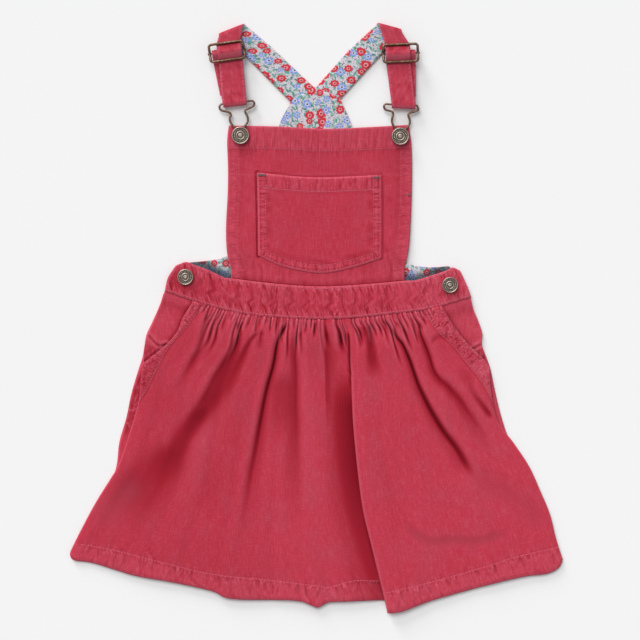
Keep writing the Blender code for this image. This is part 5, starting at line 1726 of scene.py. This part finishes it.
print("lines across each strap:", [len(strap_rulings(side)) for side in (LEFT, RIGHT)])

# %% [markdown]
# Each layer's rows lie on that path, moved off it along the strap's face. It gets
# painted shade where it leans up towards the shoulder, and a painted highlight where it
# leans down.

# %% Straps: the two layers
STRAP_ROWS = 300
STRAP_COLUMNS = 14
STRAP_WALL = 0.85
LAYER_OFF = 0.62  # from the path to the middle of a layer
CLOTH_WIDE = 24.0  # width on the flat cloth
PRINT_APART = 50  # from the dress's middle, on the print


def strap_place(side, offset, red):
    """Where one layer lies: the path moved off towards its red side."""
    rulings = strap_rulings(side)
    middle = (rulings[:, :3] + rulings[:, 3:]) / 2
    walk = np.concatenate([[0], np.cumsum(np.linalg.norm(np.diff(middle, axis=0),
                                                         axis=1))])
    fine = np.linspace(0, walk[-1], STRAP_ROWS + 1)
    lines = np.stack([np.interp(fine, walk, axis) for axis in rulings.T], axis=-1)
    inner, outer = lines[:, :3], lines[:, 3:]
    way = np.gradient((inner + outer) / 2, axis=0)
    face = np.cross(way, outer - inner) * side.turn
    face /= np.linalg.norm(face, axis=1)[:, None]

    def place(u, v):
        row = np.rint(v * STRAP_ROWS).astype(int)
        along = fine[row]
        edge = np.minimum(u, 1 - u) * CLOTH_WIDE
        spots = between(inner[row], outer[row], u[:, None])
        rib = bell(edge - 1.6, 0.8)  # beside the row of stitches
        wave = 0.06 * uneven(along, 9.5, 71 + side.turn)
        wave += 0.03 * uneven(along + 3 * u, 4, 75)
        lift = offset + (wave - 0.10 * rib - rolled(edge, 1.2, 0.2)) * (1 if red else -1)
        spots = spots + face[row] * lift[:, None]
        patches = (uneven(along + 9 * u, 13, 81 + side.turn)
                   * uneven(CLOTH_WIDE * u + 0.3 * along, 11, 83))
        worn = 0.8 * bell(edge, 1.0) + 0.15 * rib + 0.35 * ease(0, 0.8, patches)
        # Painted shade where the strap leans up, most high on the slider, and a painted
        # highlight where it leans down; dye patches, and a little paler all over and high
        # on the slider.
        lean = face[row][:, 1]
        rising, falling = ease(0.06, 0.7, lean), ease(0.06, 0.7, -lean)
        high = ease(7.0, 9.0, spots[:, 2])
        deep = (0.12 + 0.26 * ease(0, -0.8, patches)) * (1 - falling)
        deep += (0.20 + 0.35 * high) * rising
        worn += 0.16 + 0.12 * high + 0.85 * falling
        flat = stacked((u - 0.5) * CLOTH_WIDE + PRINT_APART * side.turn, along)
        sewn = edge < 5
        seam = np.where(sewn[:, None], stacked(along, 1.5 * edge),
                        stacked(1.3 * flat[:, 0] + uneven(along, 19, 77), 0.6 * along))
        drawn = np.where(sewn, 0.75 * ease(4.5, 2.5, edge),
                         0.42 * ease(5.5, 9, edge))
        return Lie(spots, flat, worn * (1 - 0.4 * rising), deep if red else 0.0, drawn,
                   seam)
    return place, walk[-1] * MM


straps = {}
for side in (LEFT, RIGHT):
    for red, node, material in ((True, "strap", NEEDLECORD),
                                (False, "strap_lining", PRINTED_COTTON)):
        place, length = strap_place(side, LAYER_OFF if red else -LAYER_OFF, red)
        piece = sheet(f"{node}_{side.name}_cloth", STRAP_COLUMNS, STRAP_ROWS, place,
                      STRAP_WALL, material, dip_shade=0.0)
        declare(piece, f"{node}_{side.name}")
        straps[node, side.name] = piece
        print("  strap length", round(length, 3))

# %% [markdown]
# ## Sliders and clips
#
# Both are bent wire. A wire is a curve with a round bevel, turned into a mesh so that it
# can be joined to the rest of its piece. The slider's short sides dip to carry the
# middle bar, whose ends are peened into little heads.


# %% Helper: wire
def wire(points, radius, closed=True):
    """A mesh of a round wire through the points, in millimetres."""
    curve = bpy.data.curves.new("wire", "CURVE")
    curve.dimensions = "3D"
    curve.bevel_depth = radius * MM
    curve.bevel_resolution = 4
    curve.use_fill_caps = not closed
    spline = curve.splines.new("POLY")
    spline.points.add(len(points) - 1)
    for point, spot in zip(spline.points, points):
        point.co = (*(Vector(spot) * MM), 1)
    spline.use_cyclic_u = closed
    shape = placed("wire", curve)
    mesh = bpy.data.meshes.new_from_object(
        shape.evaluated_get(bpy.context.evaluated_depsgraph_get()))
    bpy.data.objects.remove(shape)
    return mesh


def hard_piece(name, shape, node, material):
    """A finished metal piece from a bmesh."""
    bmesh.ops.remove_doubles(shape, verts=shape.verts, dist=0.01 * MM)
    bmesh.ops.recalc_face_normals(shape, faces=shape.faces)
    mesh = mesh_of(name, shape)
    mesh.set_sharp_from_angle(angle=math.radians(50))
    piece = dressed(name, mesh, 0, material)
    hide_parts(node)
    print(name, len(mesh.polygons), "faces")
    return piece


# %% Sliders and clips
SLIDER_CORNER = 2.6
SLIDER_DIP = 2.6  # half the length of the dip in a short side
BAR_PAST = 1.6  # how far the middle bar runs past the frame
HEAD_PAST, HEAD_RADIUS = 1.2, 1.35  # its peened ends


def slider(side):
    half_wide, half_deep, corner = SLIDER_WIDE / 2, SLIDER_DEEP / 2, SLIDER_CORNER
    low = SLIDER_HEIGHT - SLIDER_DROP
    ring = []
    for x, y, first in ((1, 1, 0), (-1, 1, 90), (-1, -1, 180), (1, -1, 270)):
        for step in range(9):
            angle = math.radians(first + step * 90 / 8)
            ring.append((x * (half_wide - corner) + corner * math.cos(angle),
                         y * (half_deep - corner) + corner * math.sin(angle),
                         SLIDER_HEIGHT))
        if x == -y:  # a short side follows this corner
            ys = np.linspace(half_deep - corner, corner - half_deep, 13)[1:-1] * y
            ring += [(x * half_wide, along,
                      SLIDER_HEIGHT - SLIDER_DROP * float(bell(along, SLIDER_DIP)))
                     for along in ys]
    turn = Matrix.Translation(Vector((*side.slider, 0)) * MM) @ Matrix.Rotation(
        math.radians(side.tilt), 4, "Z")
    shape = bmesh.new()
    shape.from_mesh(wire(ring, SLIDER_WIRE))
    reach = half_wide + BAR_PAST
    shape.from_mesh(wire([(-reach, 0, low), (reach, 0, low)], SLIDER_BAR, closed=False))
    for end in (-1, 1):
        bmesh.ops.create_uvsphere(
            shape, u_segments=16, v_segments=10, radius=HEAD_RADIUS * MM,
            matrix=Matrix.Translation(Vector((end * (half_wide + HEAD_PAST), 0, low)) * MM)
            @ Matrix.Diagonal((0.75, 1, 1, 1)))
    bmesh.ops.transform(shape, matrix=turn, verts=shape.verts)
    hard_piece(f"three_bar_slider_{side.name}", shape, f"slider_{side.name}",
               ANTIQUE_BRASS)


def clip(side):
    start, end, *bends = side.clip
    ring = Line(*bends, start)
    bent = ring.at(np.linspace(0, 1, 90, endpoint=False))
    straight = between(np.array(start), np.array(end), np.linspace(0, 1, 12)[:, None])
    points = [(*spot, CLIP_HEIGHT) for spot in [*straight, *bent[1:]]]
    shape = bmesh.new()
    shape.from_mesh(wire(points, CLIP_WIRE))
    hard_piece(f"wire_clip_{side.name}", shape, f"clip_{side.name}",
               ANTIQUE_BRASS)


for side in (LEFT, RIGHT):
    slider(side)
    clip(side)

# %% [markdown]
# ## Buttons
#
# A jeans button is turned work, so its section is spun round its axis. Its face has a
# rim, a band with a wreath of small leaves, a ring, and a rosette in the middle. The
# wreath and the rosette are one small bead, laid out again and again.

# %% Buttons
BUTTON_FACE = ((0, 2.35), (0.10, 2.35), (0.22, 2.2), (0.27, 1.95), (0.36, 1.9),
               (0.42, 2.25), (0.47, 2.3), (0.52, 1.95), (0.57, 1.85), (0.80, 1.85),
               (0.85, 2.0), (0.90, 2.3), (0.95, 2.3), (0.99, 2.0), (1.0, 1.5),
               (1.0, 0.8), (0.97, 0.3), (0.90, 0))
BUTTON_HIGH = BUTTON_FACE[0][1]  # from the cap's underside to its middle
BUTTON_STEM, BUTTON_FOOT = 2.1, 4.2  # radii
ROSETTE = (8, 0.155, 2.38, (0.72, 0.40, 0.30), 0)  # beads, place, height, size, lean
BIB_BUTTON = {"radius": 8.7, "foot": 2.35, "cap": 5.35, "leaves": 26}
SIDE_BUTTON = {"radius": 7.9, "foot": 5.22, "cap": 6.12, "leaves": 22}


def button(name, node, place, radius, foot, cap, leaves):
    section = [(share * radius, cap + height) for share, height in BUTTON_FACE]
    section += [(BUTTON_STEM, cap), (BUTTON_STEM, foot + 0.5), (BUTTON_FOOT, foot + 0.35),
                (BUTTON_FOOT, foot), (0, foot)]
    shape = bmesh.new()
    verts = [shape.verts.new(Vector((x, 0, z)) * MM) for x, z in section]
    edges = [shape.edges.new(pair) for pair in zip(verts, verts[1:])]
    bmesh.ops.spin(shape, geom=verts + edges, axis=(0, 0, 1), cent=(0, 0, 0),
                   angle=2 * math.pi, steps=64, use_merge=True)
    wreath = (leaves, 0.685, 1.9, (0.95, 0.42, 0.40), 0.5)
    for count, share, height, size, lean in (wreath, ROSETTE):
        for step in range(count):
            angle = 2 * math.pi * step / count
            spot = Matrix.Rotation(angle, 4, "Z") @ Matrix.Translation(
                Vector((share * radius, 0, cap + height)) * MM)
            bmesh.ops.create_uvsphere(
                shape, u_segments=8, v_segments=5, radius=MM,
                matrix=spot @ Matrix.Rotation(lean, 4, "Z") @ Matrix.Diagonal((*size, 1)))
    bmesh.ops.transform(shape, matrix=Matrix.Translation(Vector((*place, 0)) * MM),
                        verts=shape.verts)
    piece = hard_piece(name, shape, node, OLD_SILVER)
    depth = [cap + BUTTON_HIGH - vertex.co.z / MM for vertex in piece.data.vertices]
    hollow = piece.data.attributes.new("hollow", "FLOAT", "POINT")
    hollow.data.foreach_set("value", np.clip(np.array(depth) * 1.6, 0, 1))


for side in (LEFT, RIGHT):
    button(f"button_bib_{side.name}", f"bib_button_{side.name}", side.button, **BIB_BUTTON)
    button(f"button_side_{side.name}", f"side_button_{side.name}", side.side_button,
           **SIDE_BUTTON)

# %% [markdown]
# ## Sewing
#
# A row of topstitching is a line of small beads of thread, each lying in the dip it has
# pulled into the cloth. The rows are drawn from above and dropped onto the finished
# cloth, so that each stitch lies on it and leans with it.


# %% Helper: stitches
ABOVE_ALL = 0.05  # metres up, from where the stitches are dropped


def stitches(name, runs, on, material, length=2.4, gap=0.7, wide=0.58, sink=0.10):
    """Rows of stitches along lines seen from above, lying on a piece."""
    surface = BVHTree.FromObject(on, bpy.context.evaluated_depsgraph_get())
    shape = bmesh.new()
    for run in runs:
        count = max(1, int(run.length / (length + gap)))
        for index in range(count):
            middle = run.length * (index + 0.5) / count
            ends = []
            for walk in (middle - length / 2, middle + length / 2):
                x, y = run.at(walk / run.length)[:2]
                hit, normal, _, _ = surface.ray_cast(Vector((x * MM, y * MM, ABOVE_ALL)),
                                                     Vector((0, 0, -1)))
                if hit is not None:
                    ends.append((hit, normal))
            if len(ends) < 2:
                continue
            (start, normal), (end, _) = ends
            way = (end - start).normalized()
            across = normal.cross(way).normalized()
            lay = Matrix((way, across, way.cross(across))).transposed().to_4x4()
            spot = (start + end) / 2 + way.cross(across) * (0.5 * wide - sink) * MM
            size = (wide / 2 * MM, wide / 2 * MM, (end - start).length / 2, 1)
            bmesh.ops.create_uvsphere(
                shape, u_segments=6, v_segments=5, radius=1,
                matrix=Matrix.Translation(spot) @ lay
                @ Matrix.Rotation(math.pi / 2, 4, "Y") @ Matrix.Diagonal(size))
    mesh = mesh_of(name, shape)
    dressed(name, mesh, 0, material)
    print(name, len(mesh.polygons), "faces")


def moved(line, distance):
    """A line moved to its left by a distance."""
    ways = np.gradient(line.spots[:, :2], axis=0)
    ways /= np.linalg.norm(ways, axis=1)[:, None]
    spots = line.spots[:, :2] + distance * stacked(-ways[:, 1], ways[:, 0])
    return Line(*spots[::3], spots[-1])


def cut(line, start, end):
    """A part of a line, between two shares of its length."""
    return Line(*line.at(np.linspace(start, end, 24)))


# %% Topstitching
stitches("sewing_waistband",
         [moved(SEAM, STITCH_IN), moved(cut(BAND_TOP, 0.06, 0.97), -STITCH_IN),
          cut(moved(BAND_LEFT, STITCH_IN), 0.12, 0.9),
          cut(moved(BAND_RIGHT, -STITCH_IN), 0.12, 0.9)],
         waistband_front, PINK_THREAD)
stitches("sewing_bib", [cut(moved(BIB_TOP, -BIB_BAND), 0.01, 0.99),
                        cut(moved(BIB_LEFT, SIDE_HEM), 0.16, 0.97),
                        cut(moved(BIB_RIGHT, -SIDE_HEM), 0.16, 0.97)],
         bib_front, PINK_THREAD, wide=0.34)
POCKET_OUTLINE = Line(*POCKET_LEFT.at(np.linspace(0.0, 0.97, 6)),
                      *POCKET_BOTTOM.at(np.linspace(0.02, 0.98, 8)),
                      *POCKET_RIGHT.at(np.linspace(0.97, 0.0, 6)))
stitches("sewing_bib_pocket",
         [cut(moved(POCKET_OUTLINE, STITCH_IN), 0.01, 0.99),
          cut(moved(POCKET_OUTLINE, STITCH_IN + DOUBLE_ROW), 0.02, 0.98),
          cut(moved(POCKET_TOP, -POCKET_HEM), 0.03, 0.97)],
         bib_pocket, PINK_THREAD, wide=0.52)
stitches("sewing_skirt",
         [*HEM_STITCHES, *POCKET_STITCHES,
          moved(cut(Line(*SIDE_LEFT.spots[:31:3, :2]), 0.02, 1), STITCH_IN),
          moved(cut(Line(*SIDE_RIGHT.spots[:19:3, :2]), 0.02, 1), -STITCH_IN)],
         skirt_front, PINK_THREAD, wide=0.55)

# %% [markdown]
# Two grey bartacks hold the corners of the bib pocket, and the end of a grey thread has
# caught near the bib's right edge.

# %% Bartacks and the thread's end
BARTACKS = (((-58.5, 141.7), (-51.0, 141.7)), ((56.5, 139.4), (63.5, 139.4)))
THREAD_END = (Line((90.9, 123.1), (93.9, 122.2)), Line((91.4, 121.9), (93.5, 121.5)))


def bartack(start, end):
    """A close zigzag over two long threads, as a few runs side by side."""
    return [Line((start[0], start[1] + off), (end[0], end[1] + off))
            for off in (-0.75, -0.25, 0.25, 0.75)]


stitches("bartacks", [row for ends in BARTACKS for row in bartack(*ends)], bib_pocket,
         GREY_THREAD, length=1.2, gap=0.0, wide=0.75)
stitches("thread_end", THREAD_END, bib_front, GREY_THREAD, length=1.5, gap=0.0, wide=1.5)

# %% [markdown]
# The straps' rows run near both edges, on the red side: from the fold at the shoulder
# to just before the loop round the clip.

# %% Strap stitching
STRAP_STITCHES = (0.065, 0.935)  # shares of its width
BEFORE_LOOP = 3  # lines across the strap that are left out

for side in (LEFT, RIGHT):
    rulings = strap_rulings(side)
    runs = []
    for share in STRAP_STITCHES:
        line = between(rulings[:, :3], rulings[:, 3:], share)[len(strap_to_fold(side)):]
        lowest_line = int(np.argmin(line[:, 1]))
        runs.append(Line(*line[:lowest_line - BEFORE_LOOP, :2]))
    stitches(f"sewing_strap_{side.name}", runs, straps["strap", side.name], PINK_THREAD,
             wide=0.36)

# %% [markdown]
# ## The table
#
# A plain pale top, only there to take the shadow.

# %% Table
TABLE_REACH = 4  # metres each way
TABLE_DROP = 0.15 * MM  # keeps it clear of the cloth that lies on it
TABLE_WHITES = (0.845, 0.845, 0.85), (0.855, 0.855, 0.86)

table = bmesh.new()
bmesh.ops.create_grid(table, x_segments=1, y_segments=1, size=TABLE_REACH)
bmesh.ops.translate(table, vec=(0, 0, -TABLE_DROP), verts=table.verts)
table_mesh = mesh_of("table", table)
table_piece = placed("table", table_mesh)
laminate = Finish("pale_laminate", Specular_IOR_Level=0.1, Roughness=0.9)
laminate.feed(Base_Color=laminate.mix(
    laminate.noise(laminate.node("TexCoord", {}, {}, "Object"), 3, 2), *TABLE_WHITES))
table_mesh.materials.append(laminate.material)
print("table:", 2 * TABLE_REACH, "m wide")
